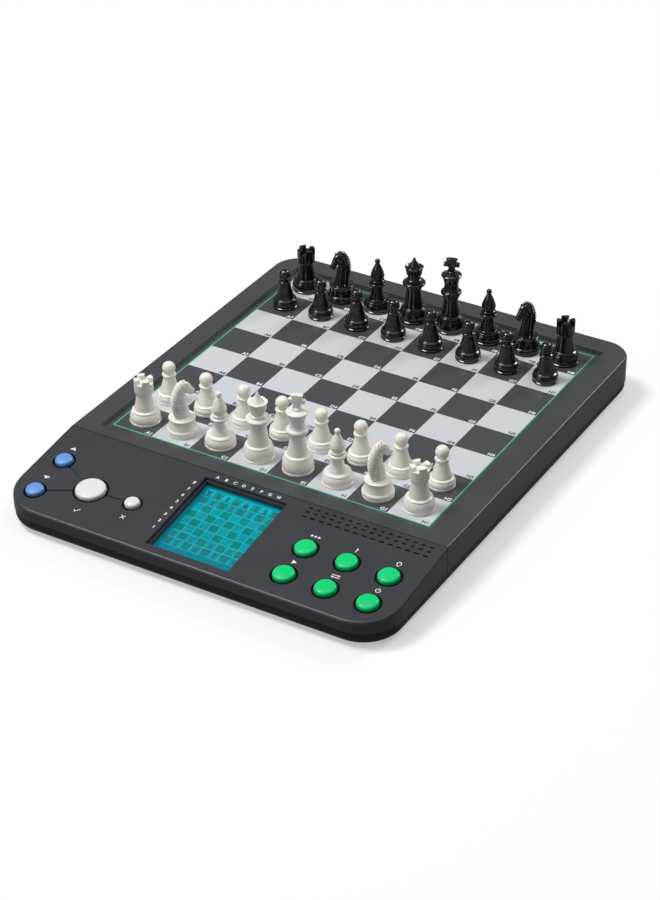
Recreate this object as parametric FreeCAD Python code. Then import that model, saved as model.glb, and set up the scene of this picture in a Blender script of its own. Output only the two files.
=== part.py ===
import FreeCAD, Part
import math
import os

from FreeCAD import Placement, Rotation, Vector

os.makedirs("parts", exist_ok=True)

# An electronic chess computer with its 32 men. Millimetres, +X to the player's right, +Y away
# from the player, +Z up. The origin is on the table, under the middle of the case.

# Case
SQUARE = 26.0  # side of a playing square
FILES = 8  # squares along each side of the board
FRAME_MARGIN = 20.0  # from the squares to the outside of the case, left, right and rear
PANEL_REACH = 88.0  # from the squares to the front of the case
SEAM_SETBACK = 15.0  # from the squares to the seam between frame and panel
SEAM_GAP = 0.5  # open joint between frame and panel
SEAM_WALL_T = 2.0  # upright edge of each shell along the seam
SEAM_WALL_H = 5.0
FOOT_PROUD = 1.2  # how far the feet stand below the case
LOWER_H = 8.2  # from the underside of the case to the parting line
UPPER_H = 16.6  # from the parting line to the top of the frame
LOWER_INSET = 0.4  # the lower case stands in from the upper shells, so the joint reads as a line
WALL = 2.2
FLOOR_T = 2.2
REAR_CORNER_R = 18.0
FRONT_CORNER_R = 24.0
TOP_EDGE_R = 1.6
BOTTOM_EDGE_R = 5.0

# Playing surface: overlay and membrane lie under a stepped lip, on a stiff backing plate
RECESS_MARGIN = 4.8  # from the squares to the lip, left, right and rear
RECESS_NEAR = 6.0  # the same on the player's side
LEDGE_W = 1.0  # step half way down the lip
LEDGE_DEPTH = 0.8
RECESS_DEPTH = 1.6
LIP_OVERLAP = 3.0  # how far the overlay reaches under the lip
OVERLAY_T = 0.8
MEMBRANE_T = 0.6
BACKING_T = 2.0
BACKING_OVERLAP = 2.6  # how far the backing plate reaches past the overlay
SHEET_GAP = 0.2  # round the overlay, the membrane and the plate
PILLAR_D = 8.0  # pillars of the lower case that bear up the backing plate
PILLAR_X = 78.0
PILLAR_Y = 78.0

# Control panel, which slopes down towards the player
PANEL_TILT = 7.5  # degrees
PANEL_T = 2.2

# Display: a stepped well in the panel with the window under it
DISPLAY_W = 53.6
DISPLAY_FAR = 6.2  # from the seam to the far edge of the well, down the slope
DISPLAY_FRONT = 5.6  # from the well to the front of the panel
DISPLAY_STEP_W = 1.4
DISPLAY_STEP_DEPTH = 1.8
DISPLAY_DEPTH = 4.6
DISPLAY_WALL = 1.6
WINDOW_T = 1.2
WINDOW_SEAT = 2.0  # how far the window reaches under the well, all round
LCD_T = 4.1
LCD_GLASS_T = 2.2
LCD_LEDGE = 2.4  # bare contact edge of the lower glass, on the player's side

# Keys
KEY_GAP = 0.6  # clearance round each cap
KEY_PROUD = 2.8
KEY_TRAVEL = 1.2
KEY_STOP_GAP = 0.15  # left between plunger and dome when the key is pressed home
KEY_SEAT_GAP = 0.1  # between the flange and the underside of the panel
KEY_FLANGE_W = 1.2
KEY_FLANGE_T = 1.0
KEY_WALL = 1.5
KEY_ROUND = 1.4
KEY_CROWN = 0.5
PLUNGER_D = 4.0
ROUND_KEY_D = 12.3  # the six function keys
ARROW_KEY_D = 10.4
ENTER_KEY_D = 17.7
ESCAPE_KEY_D = 8.8
FUNCTION_X = 80.8  # middle column of the function keys
FUNCTION_FRONT = 16.3  # from the front of the panel to the last row of the function keys
FUNCTION_DX = 25.8
FUNCTION_DY = 22.7
ARROW_X = -108.5
ARROW_UP_FRONT = 44.0
ARROW_DOWN_FRONT = 15.4
ENTER_X = -79.5
ENTER_FRONT = 29.0
ESCAPE_X = -51.7
ESCAPE_FRONT = 29.6
GROOVE_W = 1.3  # grooves that link the arrow, enter and escape keys
GROOVE_DEPTH = 0.6

# Sound slots in the panel, and the speaker under them
SLOT_W = 1.1
SLOT_L = 2.6
SLOT_PITCH = 5.05
SLOT_COUNT = 16
LONG_SLOT_L = 3.4
LONG_SLOT_PITCH = 5.4
LONG_SLOT_COUNT = 15
SLOT_X = 78.4  # middle of the rows
SLOT_ROWS_Y = (3.6, 7.2)  # down the slope from the seam
LONG_SLOT_Y = 11.2
SPEAKER_L = 38.0
SPEAKER_W = 13.0
SPEAKER_RIM_T = 1.2
SPEAKER_CAN_T = 3.0
SPEAKER_MAGNET_D = 10.0
SPEAKER_MAGNET_T = 3.2
SPEAKER_CONE_DEPTH = 1.0
SPEAKER_Y = 9.2

# Circuit board, parallel to the panel, and the rubber key mats on it
BOARD_T = 1.6
BOARD_SIDE_GAP = 10.0  # from the case wall to the board, left and right
BOARD_FAR = 18.0  # from the seam to the far edge of the board
BOARD_FRONT = 7.0  # from the board to the front of the panel
MAT_T = 1.0
MAT_EDGE = 1.5  # rim of the mat round its outermost domes
DOME_H = 1.6
DOME_D = 7.0
DOME_TOP_D = 4.4
STANDOFF_D = 5.0
BLOB_D = 16.0  # potting over the processor
BLOB_H = 1.8

# Battery bay in the lower case, with three AA cells
CELL_D = 14.5
CELL_L = 49.2  # without its cap
CELL_CAP_D = 5.5
CELL_CAP_H = 1.3
CELL_EDGE_R = 0.8
CELLS = 3
CELL_GAP = 0.6  # between cells, and between a cell and the bay
CONTACT_ROOM = 3.2  # at each end of the cells
CONTACT_T = 0.5
CONTACT_W = 9.0
CONTACT_GAP = 0.1  # left between a leaf and the end of a cell
BAY_WALL = 3.0
BAY_ROOF_T = 1.6
BAY_BACK = 6.0  # from the middle of the squares to the middle of the bay
DOOR_T = 2.0
DOOR_SEAT = 1.5  # how far the door reaches under the walls of the bay
DOOR_GAP = 0.4
DOOR_LIFT_GAP = 0.1
DOOR_PIN_D = 1.4
DOOR_PIN_L = 0.9
DOOR_PIN_GAP = 0.08
GRIP_RIBS = 5  # finger ribs by the free edge of the door
GRIP_PITCH = 2.2
GRIP_L = 18.0
GRIP_DEPTH = 0.4

# Fasteners and feet
BOSS_D = 6.6
POST_H = 6.4  # from the underside of the case to the joint of each screw post
HEAD_SINK = 3.6  # how deep the screw heads sit in the case
HEAD_D = 5.2
HEAD_H = 1.9
SHANK_D = 2.8
SHANK_L = 12.0
SHANK_GAP = 0.05
HOLE_GAP = 0.4  # round a screw where it passes freely
PILOT_SPARE = 1.0  # free depth past the tip of a screw
BOARD_SCREW_L = 5.0
SCREW_SIDE_IN = 6.4  # from the outside of the case to the screws
FRAME_SCREW_SEAM_IN = 45.0  # from the seam to the first pair of the frame's screws
FRAME_SCREW_REAR_IN = 38.0  # from the rear of the case to the second pair
REAR_SCREW_X = 70.0
PANEL_SCREW_FRONT_IN = 30.0  # from the front of the case to the first pair of the panel's screws
PANEL_SCREW_SEAM_IN = 10.0  # from the seam to the second pair
FOOT_D = 12.0
FOOT_SINK = 0.8
FOOT_IN = 24.0  # from the sides of the case to the feet

# Men: parts of a turned outline that all kinds share
RIM_ROUND = 0.4
RIM_H = 1.2
RIM_STEP = 0.3
BEAD_H = 0.9
BEAD_STEP = 0.3
SMALL_BEAD_H = 1.3
SKIRT_BULGE = 0.16  # bow of an arc: twice its rise over its chord
STEM_BULGE = -0.16
QUARTER = math.tan(math.pi / 8)  # the bow of a quarter circle
BEAD_BULGE = 0.75

PAWN_H = 25.6
PAWN_BASE_D = 15.9
PAWN_RING_D = 12.8
PAWN_RING_Z = 6.7
PAWN_STEM_D = 6.8
PAWN_COLLAR_Z = 16.5
PAWN_COLLAR_D = 8.7
PAWN_COLLAR_H = 1.7
PAWN_HEAD_D = 8.2

BASE_D = 18.6  # base of the five greater kinds
ROOK_H = 28.4
ROOK_RING_D = 14.2
ROOK_RING_Z = 7.6
ROOK_STEM_D = 9.8
ROOK_STEM_Z = 17.0
ROOK_HEAD_D = 11.9
ROOK_HEAD_Z = 19.8
ROOK_CUP_D = 7.4
ROOK_CUP_DEPTH = 4.2
ROOK_NOTCH_W = 2.9
ROOK_NOTCH_DEPTH = 3.2

BISHOP_H = 35.1
BISHOP_RING_D = 14.0
BISHOP_RING_Z = 7.4
BISHOP_STEM_D = 7.8
BISHOP_COLLAR_Z = 15.6
BISHOP_COLLAR_D = 10.8
BISHOP_COLLAR_H = 2.6
BISHOP_NECK_D = 7.2
BISHOP_HEAD_D = 9.5
BISHOP_HEAD_Z = 24.6
BISHOP_BALL_D = 4.3
BISHOP_BALL_NECK_D = 2.8
BISHOP_SLOT_W = 1.1
BISHOP_SLOT_TILT = 58.0

QUEEN_H = 43.0
QUEEN_RING_D = 14.4
QUEEN_RING_Z = 9.4
QUEEN_STEM_D = 9.4
QUEEN_COLLAR_Z = 22.2
QUEEN_COLLAR_D = 14.6
QUEEN_COLLAR_H = 3.2
QUEEN_BAND_D = 9.8
QUEEN_NECK_D = 8.2
QUEEN_CROWN_D = 12.2
QUEEN_CROWN_Z = 37.6
QUEEN_CROWN_T = 1.4
QUEEN_POINTS = 8
QUEEN_SCALLOP_D = 3.0
QUEEN_TIP_D = 1.6

KING_H = 49.4
KING_RING_D = 15.2
KING_RING_Z = 10.4
KING_STEM_D = 9.0
KING_COLLAR_Z = 23.4
KING_COLLAR_D = 13.2
KING_COLLAR_H = 3.0
KING_BAND_D = 10.6
KING_NECK_D = 8.8
KING_HEAD_D = 12.2
KING_HEAD_Z = 39.8
KING_RIM_H = 1.6
KING_DOME_H = 1.2
KING_KNOB_D = 4.4
CROSS_H = 6.8
CROSS_W = 6.6
CROSS_T = 2.4
CROSS_WAIST = 1.7
CROSS_FLARE = 3.6
CROSS_BULGE = -0.12

KNIGHT_DRUM_D = 14.8
KNIGHT_DRUM_Z = 11.0
KNIGHT_DRUM_ROUND = 0.7
KNIGHT_NECK_DEPTH = 11.2
KNIGHT_NECK_W = 9.2
KNIGHT_NECK_H = 20.6  # from the drum to the poll
KNIGHT_CREST_BACK = 1.2  # how far the neck bows back
KNIGHT_HEAD_L = 12.4
KNIGHT_HEAD_DEPTH = 6.2
KNIGHT_HEAD_W = 5.2
KNIGHT_HEAD_DROP = 43.0  # degrees below the level
KNIGHT_EAR_H = 2.6
KNIGHT_EAR_D = 2.0
KNIGHT_MANE_D = 5.4
KNIGHT_MANE_LOCKS = 12
KNIGHT_LOCK_DEPTH = 0.6
KNIGHT_LOCK_TILT = 42.0
KNIGHT_TURN = -5.0  # degrees from looking straight at the other side
BISHOP_TURN = -40.0
ROOK_TURN = 20.0

# Places worked out from the sizes above
board_side = FILES * SQUARE
case_w = board_side + 2 * FRAME_MARGIN
case_l = board_side + FRAME_MARGIN + PANEL_REACH
side_x = case_w / 2
rear_y = case_l / 2
front_y = -case_l / 2
board_x = board_side / 2
board_near_y = front_y + PANEL_REACH
board_far_y = board_near_y + board_side
board_mid_y = (board_near_y + board_far_y) / 2
seam_y = board_near_y - SEAM_SETBACK
panel_l = PANEL_REACH - SEAM_SETBACK
bottom_z = FOOT_PROUD
part_z = bottom_z + LOWER_H
top_z = part_z + UPPER_H
ledge_z = top_z - LEDGE_DEPTH
play_z = top_z - RECESS_DEPTH
membrane_top_z = play_z - OVERLAY_T
under_z = membrane_top_z - MEMBRANE_T
backing_z = under_z - BACKING_T
post_z = bottom_z + POST_H
seat_z = bottom_z + HEAD_SINK
display_near = panel_l - DISPLAY_FRONT  # down the slope from the seam, as the next is
board_near = panel_l - BOARD_FRONT
circuit_depth = DISPLAY_DEPTH + WINDOW_T + LCD_T
plunger_z = -(circuit_depth - MAT_T - DOME_H - KEY_TRAVEL - KEY_STOP_GAP)
panel_place = Placement(Vector(0, seam_y, top_z), Rotation(Vector(1, 0, 0), PANEL_TILT))
FAR = 2 * (case_w + case_l)  # larger than the object, for cutting off whole sides


def box(x0, y0, z0, x1, y1, z1):
    return Part.makeBox(x1 - x0, y1 - y0, z1 - z0, Vector(x0, y0, z0))


def rod(d, z0, z1, x=0.0, y=0.0):
    return Part.makeCylinder(d / 2, z1 - z0, Vector(x, y, z0))


def plate(x0, y0, x1, y1, z0, z1, near_r=0.0, far_r=0.0):
    """An upright block with its two near and its two far corners rounded."""
    corners = (
        (x0, y0, near_r, 180.0),
        (x1, y0, near_r, 270.0),
        (x1, y1, far_r, 0.0),
        (x0, y1, far_r, 90.0),
    )
    edges = []
    first = last = None
    for x, y, r, start in corners:
        cx = x + r if x == x0 else x - r
        cy = y + r if y == y0 else y - r
        spots = []
        for turn in (0.0, 45.0, 90.0):
            a = math.radians(start + turn)
            spots.append(Vector(cx + r * math.cos(a), cy + r * math.sin(a), z0))
        if last is None:
            first = spots[0]
        elif last.distanceToPoint(spots[0]) > 1e-6:
            edges.append(Part.LineSegment(last, spots[0]).toShape())
        if r > 0:
            edges.append(Part.Arc(*spots).toShape())
        last = spots[-1]
    if last.distanceToPoint(first) > 1e-6:
        edges.append(Part.LineSegment(last, first).toShape())
    return Part.Face(Part.Wire(edges)).extrude(Vector(0, 0, z1 - z0))


def square_block(margin, z0, z1, near=None):
    """A block over the playing squares, wider by margin on every side, or by near at the front."""
    near = margin if near is None else near
    return box(-board_x - margin, board_near_y - near, z0, board_x + margin, board_far_y + margin, z1)


def on_panel(shape):
    """Moves a shape from the panel's own frame, whose z is 0 on its face, to its place."""
    placed = shape.copy()
    placed.Placement = panel_place.multiply(placed.Placement)
    return placed


def under_panel(shape, depth):
    """Takes off what stands above the plane that lies depth under the panel's face."""
    return shape.cut(on_panel(box(-FAR, -FAR, -depth, FAR, FAR, FAR)))


def fuse(shapes):
    return shapes[0].multiFuse(shapes[1:]).removeSplitter()


def moved(shape, x=0.0, y=0.0, z=0.0, turn=0.0):
    placed = shape.copy()
    placed.Placement = Placement(Vector(x, y, z), Rotation(Vector(0, 0, 1), turn))
    return placed


def save(name, shape):
    assert shape.isValid(), name
    assert shape.Solids, name
    shape.exportStep(f"parts/{name}.step")
    print(name, len(shape.Solids), round(shape.Volume, 1))


def bowed(a, b, bulge):
    """An arc in an upright plane from a to b. Going up, a positive bulge bows towards +X."""
    chord = b - a
    middle = (a + b) * 0.5 + Vector(chord.z, 0, -chord.x) * (bulge / 2)
    return Part.Arc(a, middle, b).toShape()


class Profile:
    """Half of a turned outline, drawn from the axis at the bottom round to the axis at the top."""

    def __init__(self, r, z):
        self.start = self.at = Vector(r, 0, z)
        self.edges = []

    def line(self, r, z):
        end = Vector(r, 0, z)
        self.edges.append(Part.LineSegment(self.at, end).toShape())
        self.at = end
        return self

    def arc(self, r, z, bulge):
        """An arc to (r, z). A positive bulge bows outwards, and 1 is a half circle."""
        end = Vector(r, 0, z)
        self.edges.append(bowed(self.at, end, bulge))
        self.at = end
        return self

    def disc(self, r, z, h):
        """A collar with a rounded edge, from height z to z + h."""
        flat = r - BEAD_BULGE * h / 2
        return self.line(flat, z).arc(flat, z + h, BEAD_BULGE)

    def ball(self, d, top):
        """The rest of a ball of this diameter that ends on the axis at height top."""
        middle = Vector(d / 2, 0, top - d / 2)
        end = Vector(0, 0, top)
        self.edges.append(Part.Arc(self.at, middle, end).toShape())
        self.at = end
        return self

    def cap(self, top):
        """A shallow dome, part of a ball centred on the axis, up to height top."""
        rise = top - self.at.z
        r = (self.at.x**2 + rise**2) / (2 * rise)
        half = math.asin(self.at.x / r) / 2
        middle = Vector(r * math.sin(half), 0, top - r + r * math.cos(half))
        end = Vector(0, 0, top)
        self.edges.append(Part.Arc(self.at, middle, end).toShape())
        self.at = end
        return self

    def turned(self):
        self.edges.append(Part.LineSegment(self.at, self.start).toShape())
        face = Part.Face(Part.Wire(self.edges))
        return face.revolve(Vector(0, 0, 0), Vector(0, 0, 1), 360)


# Case shells

frame_rows = (seam_y + FRAME_SCREW_SEAM_IN, rear_y - FRAME_SCREW_REAR_IN)
panel_rows = (front_y + PANEL_SCREW_FRONT_IN, seam_y - PANEL_SCREW_SEAM_IN)
frame_screws = [(side * (side_x - SCREW_SIDE_IN), y) for side in (-1, 1) for y in frame_rows]
frame_screws += [(side * REAR_SCREW_X, rear_y - SCREW_SIDE_IN) for side in (-1, 1)]
panel_screws = [(side * (side_x - SCREW_SIDE_IN), y) for side in (-1, 1) for y in panel_rows]
case_screw_places = frame_screws + panel_screws
foot_places = [(sx * (side_x - FOOT_IN), sy * (rear_y - FOOT_IN)) for sx in (-1, 1) for sy in (-1, 1)]
pillar_places = [(sx * PILLAR_X, board_mid_y + sy * PILLAR_Y) for sx in (-1, 1) for sy in (-1, 1)]
pilot_top = seat_z + SHANK_L + PILOT_SPARE

overlay_margin = RECESS_MARGIN - LEDGE_W + LIP_OVERLAP
overlay_near = RECESS_NEAR - LEDGE_W + LIP_OVERLAP


def screw_boss(x, y, z_top):
    """The post of an upper shell that a case screw bites into."""
    return rod(BOSS_D, post_z, z_top, x, y)


def screw_pilot(x, y):
    return rod(SHANK_D + 2 * SHANK_GAP, post_z, pilot_top, x, y)


def board_frame():
    near = seam_y + SEAM_GAP / 2
    body = plate(-side_x, near, side_x, rear_y, part_z, top_z, 0.0, REAR_CORNER_R)
    rim = []
    for edge in body.Edges:
        spots = [v.Point for v in edge.Vertexes]
        on_top = all(abs(p.z - top_z) < 1e-6 for p in spots)
        on_seam = all(abs(p.y - near) < 1e-6 for p in spots)
        if on_top and not on_seam:
            rim.append(edge)
    body = body.makeFillet(TOP_EDGE_R, rim)
    x1 = side_x - WALL
    y1 = rear_y - WALL
    inner_r = REAR_CORNER_R - WALL
    hollow = plate(-x1, near + SEAM_WALL_T, x1, y1, part_z, under_z, 0.0, inner_r)
    pass_through = box(-x1, near - WALL, part_z, x1, near + SEAM_WALL_T + WALL, top_z - SEAM_WALL_H)
    pocket = square_block(overlay_margin + SHEET_GAP, under_z, play_z, overlay_near + SHEET_GAP)
    lower = square_block(RECESS_MARGIN - LEDGE_W, play_z, ledge_z, RECESS_NEAR - LEDGE_W)
    upper = square_block(RECESS_MARGIN, ledge_z, top_z, RECESS_NEAR)
    body = body.cut(fuse([hollow, pass_through, pocket, lower, upper]))
    bosses = [screw_boss(x, y, under_z) for x, y in frame_screws]
    pilots = [screw_pilot(x, y) for x, y in frame_screws]
    return fuse([body] + bosses).cut(Part.makeCompound(pilots))


def display_block(margin, z0, z1):
    """A block in the panel's frame over the display well, wider by margin on every side."""
    half = DISPLAY_W / 2 + margin
    far = -DISPLAY_FAR + margin
    near = -display_near - margin
    return box(-half, near, z0, half, far, z1)


def slot(x, y, length):
    """A round-ended sound slot through the panel."""
    half = (length - SLOT_W) / 2
    bar = box(x - half, y - SLOT_W / 2, -PANEL_T, x + half, y + SLOT_W / 2, TOP_EDGE_R)
    ends = [rod(SLOT_W, -PANEL_T, TOP_EDGE_R, x + side * half, y) for side in (-1, 1)]
    return fuse([bar] + ends)


def slot_row(y, count, pitch, length):
    first = SLOT_X - pitch * (count - 1) / 2
    return [slot(first + i * pitch, -y, length) for i in range(count)]


def groove(x0, y0, x1, y1):
    """A shallow groove from one key to another."""
    length = math.hypot(x1 - x0, y1 - y0)
    bar = box(0, -GROOVE_W / 2, -GROOVE_DEPTH, length, GROOVE_W / 2, TOP_EDGE_R)
    turn = math.degrees(math.atan2(y1 - y0, x1 - x0))
    return moved(bar, x0, y0, 0, turn)


# Name, place on the panel and cap diameter of each key
keys = [
    ("key_up", ARROW_X, ARROW_UP_FRONT - panel_l, ARROW_KEY_D),
    ("key_down", ARROW_X, ARROW_DOWN_FRONT - panel_l, ARROW_KEY_D),
    ("key_enter", ENTER_X, ENTER_FRONT - panel_l, ENTER_KEY_D),
    ("key_escape", ESCAPE_X, ESCAPE_FRONT - panel_l, ESCAPE_KEY_D),
]
function_names = (("key_moves", "key_reason", "key_hint"), ("key_start", "key_swap", "key_power"))
for row, names in enumerate(function_names):
    for column, name in enumerate(names):
        x = FUNCTION_X + (column - 1) * FUNCTION_DX
        y = FUNCTION_FRONT - panel_l + (1 - row) * FUNCTION_DY
        keys.append((name, x, y, ROUND_KEY_D))

circuit_x = side_x - WALL - BOARD_SIDE_GAP
display_mid_y = -(DISPLAY_FAR + display_near) / 2
standoff_far_y = -BOARD_FAR - STANDOFF_D
standoff_near_y = -board_near + STANDOFF_D
standoff_x = DISPLAY_W / 2 + DISPLAY_WALL + STANDOFF_D
standoff_columns = (ENTER_X, -standoff_x, standoff_x, FUNCTION_X + FUNCTION_DX / 2)
standoff_places = [(x, y) for x in standoff_columns for y in (standoff_far_y, standoff_near_y)]


def control_panel():
    far = seam_y - SEAM_GAP / 2
    block = plate(-side_x, front_y, side_x, far, part_z, top_z, FRONT_CORNER_R, 0.0)
    body = under_panel(block, 0.0)
    to_panel = panel_place.inverse()
    rim = []
    for edge in body.Edges:
        spots = [v.Point for v in edge.Vertexes]
        on_face = all(abs(to_panel.multVec(p).z) < 1e-6 for p in spots)
        on_seam = all(abs(p.y - far) < 1e-6 for p in spots)
        if on_face and not on_seam:
            rim.append(edge)
    body = body.makeFillet(TOP_EDGE_R, rim)
    x1 = side_x - WALL
    y0 = front_y + WALL
    inner_r = FRONT_CORNER_R - WALL
    hollow = plate(-x1, y0, x1, far - SEAM_WALL_T, part_z, top_z, inner_r, 0.0)
    body = body.cut(under_panel(hollow, PANEL_T))
    low_z = top_z - SEAM_WALL_H
    body = body.cut(box(-x1, far - SEAM_WALL_T - WALL, part_z, x1, far + WALL, low_z))
    well = on_panel(display_block(DISPLAY_WALL, -DISPLAY_DEPTH, -PANEL_T / 2))
    added = [well]
    for x, y in standoff_places:
        added.append(on_panel(rod(STANDOFF_D, -circuit_depth, -PANEL_T / 2, x, y)))
    for x, y in panel_screws:
        added.append(under_panel(screw_boss(x, y, top_z), PANEL_T / 2))
    body = fuse([body] + added)
    cuts = [
        display_block(0.0, -DISPLAY_STEP_DEPTH, TOP_EDGE_R),
        display_block(-DISPLAY_STEP_W, -DISPLAY_DEPTH - WINDOW_T, TOP_EDGE_R),
    ]
    spots = {name: (x, y) for name, x, y, d in keys}
    links = (("key_up", "key_enter"), ("key_down", "key_enter"), ("key_enter", "key_escape"))
    cuts += [groove(*spots[start], *spots[end]) for start, end in links]
    for name, x, y, cap_d in keys:
        cuts.append(rod(cap_d + 2 * KEY_GAP, -PANEL_T, TOP_EDGE_R, x, y))
    pilot_z = -circuit_depth + BOARD_SCREW_L
    for x, y in standoff_places:
        cuts.append(rod(SHANK_D + 2 * SHANK_GAP, -circuit_depth, pilot_z, x, y))
    for y in SLOT_ROWS_Y:
        cuts += slot_row(y, SLOT_COUNT, SLOT_PITCH, SLOT_L)
    cuts += slot_row(LONG_SLOT_Y, LONG_SLOT_COUNT, LONG_SLOT_PITCH, LONG_SLOT_L)
    for cut in cuts:
        body = body.cut(on_panel(cut))
    pilots = [under_panel(screw_pilot(x, y), PANEL_T) for x, y in panel_screws]
    return body.cut(Part.makeCompound(pilots))


# Battery bay: three cells side by side, with a hinged door under them
bay_x = (CELL_L + CELL_CAP_H) / 2 + CONTACT_ROOM
bay_half_y = (CELLS * CELL_D + (CELLS + 1) * CELL_GAP) / 2
bay_near = board_mid_y + BAY_BACK - bay_half_y
bay_far = board_mid_y + BAY_BACK + bay_half_y
door_top_z = bottom_z + DOOR_T
cell_z = door_top_z + DOOR_LIFT_GAP + CELL_D / 2
bay_roof_z = cell_z + CELL_D / 2 + CELL_GAP
door_x = bay_x + DOOR_SEAT - DOOR_GAP
door_near = bay_near - DOOR_SEAT + DOOR_GAP
door_far = bay_far + DOOR_SEAT - DOOR_GAP
hinge_y = door_far - DOOR_T / 2
hinge_z = bottom_z + DOOR_T / 2


def base_case():
    x1 = side_x - LOWER_INSET
    y1 = rear_y - LOWER_INSET
    body = plate(
        -x1,
        -y1,
        x1,
        y1,
        bottom_z,
        part_z,
        FRONT_CORNER_R - LOWER_INSET,
        REAR_CORNER_R - LOWER_INSET,
    )
    low = [e for e in body.Edges if all(abs(v.Z - bottom_z) < 1e-6 for v in e.Vertexes)]
    body = body.makeFillet(BOTTOM_EDGE_R, low)
    inset = LOWER_INSET + WALL
    hollow = plate(
        -side_x + inset,
        front_y + inset,
        side_x - inset,
        rear_y - inset,
        bottom_z + FLOOR_T,
        part_z,
        FRONT_CORNER_R - inset,
        REAR_CORNER_R - inset,
    )
    low = [e for e in hollow.Edges if all(abs(v.Z - bottom_z - FLOOR_T) < 1e-6 for v in e.Vertexes)]
    body = body.cut(hollow.makeFillet(BOTTOM_EDGE_R - WALL, low))
    floor_z = bottom_z + FLOOR_T / 2
    added = [rod(BOSS_D, floor_z, post_z, x, y) for x, y in case_screw_places]
    added += [rod(PILLAR_D, floor_z, backing_z, x, y) for x, y in pillar_places]
    bay = box(
        -bay_x - BAY_WALL,
        bay_near - BAY_WALL,
        bottom_z,
        bay_x + BAY_WALL,
        bay_far + BAY_WALL,
        bay_roof_z + BAY_ROOF_T,
    )
    body = fuse([body, bay] + added)
    cuts = [box(-bay_x, bay_near, bottom_z, bay_x, bay_far, bay_roof_z)]
    rebate_x = bay_x + DOOR_SEAT
    rebate_z = door_top_z + DOOR_LIFT_GAP
    cuts.append(
        box(-rebate_x, bay_near - DOOR_SEAT, bottom_z, rebate_x, bay_far + DOOR_SEAT, rebate_z)
    )
    pin_reach = door_x + DOOR_PIN_L + DOOR_PIN_GAP
    pin_bore = Part.makeCylinder(
        DOOR_PIN_D / 2 + DOOR_PIN_GAP, 2 * pin_reach, Vector(-pin_reach, hinge_y, hinge_z), Vector(1, 0, 0)
    )
    cuts.append(pin_bore)
    for x, y in case_screw_places:
        cuts.append(rod(HEAD_D + 2 * HOLE_GAP, bottom_z, seat_z, x, y))
        cuts.append(rod(SHANK_D + 2 * HOLE_GAP, bottom_z, post_z, x, y))
    for x, y in foot_places:
        cuts.append(rod(FOOT_D, bottom_z, bottom_z + FOOT_SINK, x, y))
    for cut in cuts:
        body = body.cut(cut)
    return body


def battery_door():
    """A flat door with a full round along its hinge edge, trunnions, and finger ribs."""
    leaf = box(-door_x, door_near, bottom_z, door_x, hinge_y, door_top_z)
    knuckle = Part.makeCylinder(
        DOOR_T / 2, 2 * door_x, Vector(-door_x, hinge_y, hinge_z), Vector(1, 0, 0)
    )
    reach = door_x + DOOR_PIN_L
    pins = Part.makeCylinder(
        DOOR_PIN_D / 2, 2 * reach, Vector(-reach, hinge_y, hinge_z), Vector(1, 0, 0)
    )
    body = fuse([leaf, knuckle, pins])
    ribs = []
    for i in range(GRIP_RIBS):
        y = door_near + (i + 1) * GRIP_PITCH
        ribs.append(
            box(-GRIP_L / 2, y, bottom_z, GRIP_L / 2, y + GRIP_PITCH / 2, bottom_z + GRIP_DEPTH)
        )
    return body.cut(Part.makeCompound(ribs))


def cell_row(i):
    """Middle of cell i, front to rear, and the way its cap points."""
    y = bay_near + CELL_GAP + CELL_D / 2 + i * (CELL_D + CELL_GAP)
    return y, 1 if i % 2 == 0 else -1


def batteries():
    r = CELL_D / 2
    half = (CELL_L + CELL_CAP_H) / 2
    body_top = CELL_L - half
    outline = Profile(0, -half).line(r - CELL_EDGE_R, -half).arc(r, CELL_EDGE_R - half, QUARTER)
    outline.line(r, body_top - CELL_EDGE_R).arc(r - CELL_EDGE_R, body_top, QUARTER)
    outline.line(CELL_CAP_D / 2, body_top).line(CELL_CAP_D / 2, half).line(0, half)
    cell = outline.turned()
    cells = []
    for i in range(CELLS):
        y, way = cell_row(i)
        placed = cell.copy()
        placed.Placement = Placement(Vector(0, y, cell_z), Rotation(Vector(0, 1, 0), 90 * way))
        cells.append(placed)
    return Part.makeCompound(cells)


def contact_leaf():
    """A sprung leaf: its foot lies on the bay wall and a bowed tongue reaches for the cell."""
    reach = CONTACT_ROOM - CONTACT_GAP
    half = CONTACT_W / 2

    def bow(back):
        ends = [Vector(0, 0, side * (half - back)) for side in (-1, 1)]
        tip = Vector(reach - back, 0, 0)
        arc = Part.Arc(ends[0], tip, ends[1]).toShape()
        chord = Part.LineSegment(ends[1], ends[0]).toShape()
        return Part.Face(Part.Wire([arc, chord])).extrude(Vector(0, CONTACT_W, 0))

    return bow(0.0).cut(bow(CONTACT_T))


def battery_contacts():
    leaf = contact_leaf()
    leaves = []
    for i in range(CELLS):
        y, way = cell_row(i)
        left = leaf.copy()
        left.Placement = Placement(Vector(-bay_x, y - CONTACT_W / 2, cell_z), Rotation())
        right = leaf.copy()
        right.Placement = Placement(
            Vector(bay_x, y + CONTACT_W / 2, cell_z), Rotation(Vector(0, 0, 1), 180)
        )
        leaves += [left, right]
    return Part.makeCompound(leaves)


def screw(length):
    """A pan-head screw with its seat at z 0 and its shank upwards."""
    r = HEAD_D / 2
    outline = Profile(0, -HEAD_H).line(r - HEAD_H / 2, -HEAD_H).arc(r, -HEAD_H / 2, QUARTER)
    outline.line(r, 0).line(SHANK_D / 2, 0).line(SHANK_D / 2, length - SHANK_D / 2).line(0, length)
    recess = fuse(
        [
            box(-r / 2, -r / 8, -HEAD_H, r / 2, r / 8, -HEAD_H / 2),
            box(-r / 8, -r / 2, -HEAD_H, r / 8, r / 2, -HEAD_H / 2),
        ]
    )
    return outline.turned().cut(recess)


def case_screws():
    one = screw(SHANK_L)
    return Part.makeCompound([moved(one, x, y, seat_z) for x, y in case_screw_places])


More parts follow.
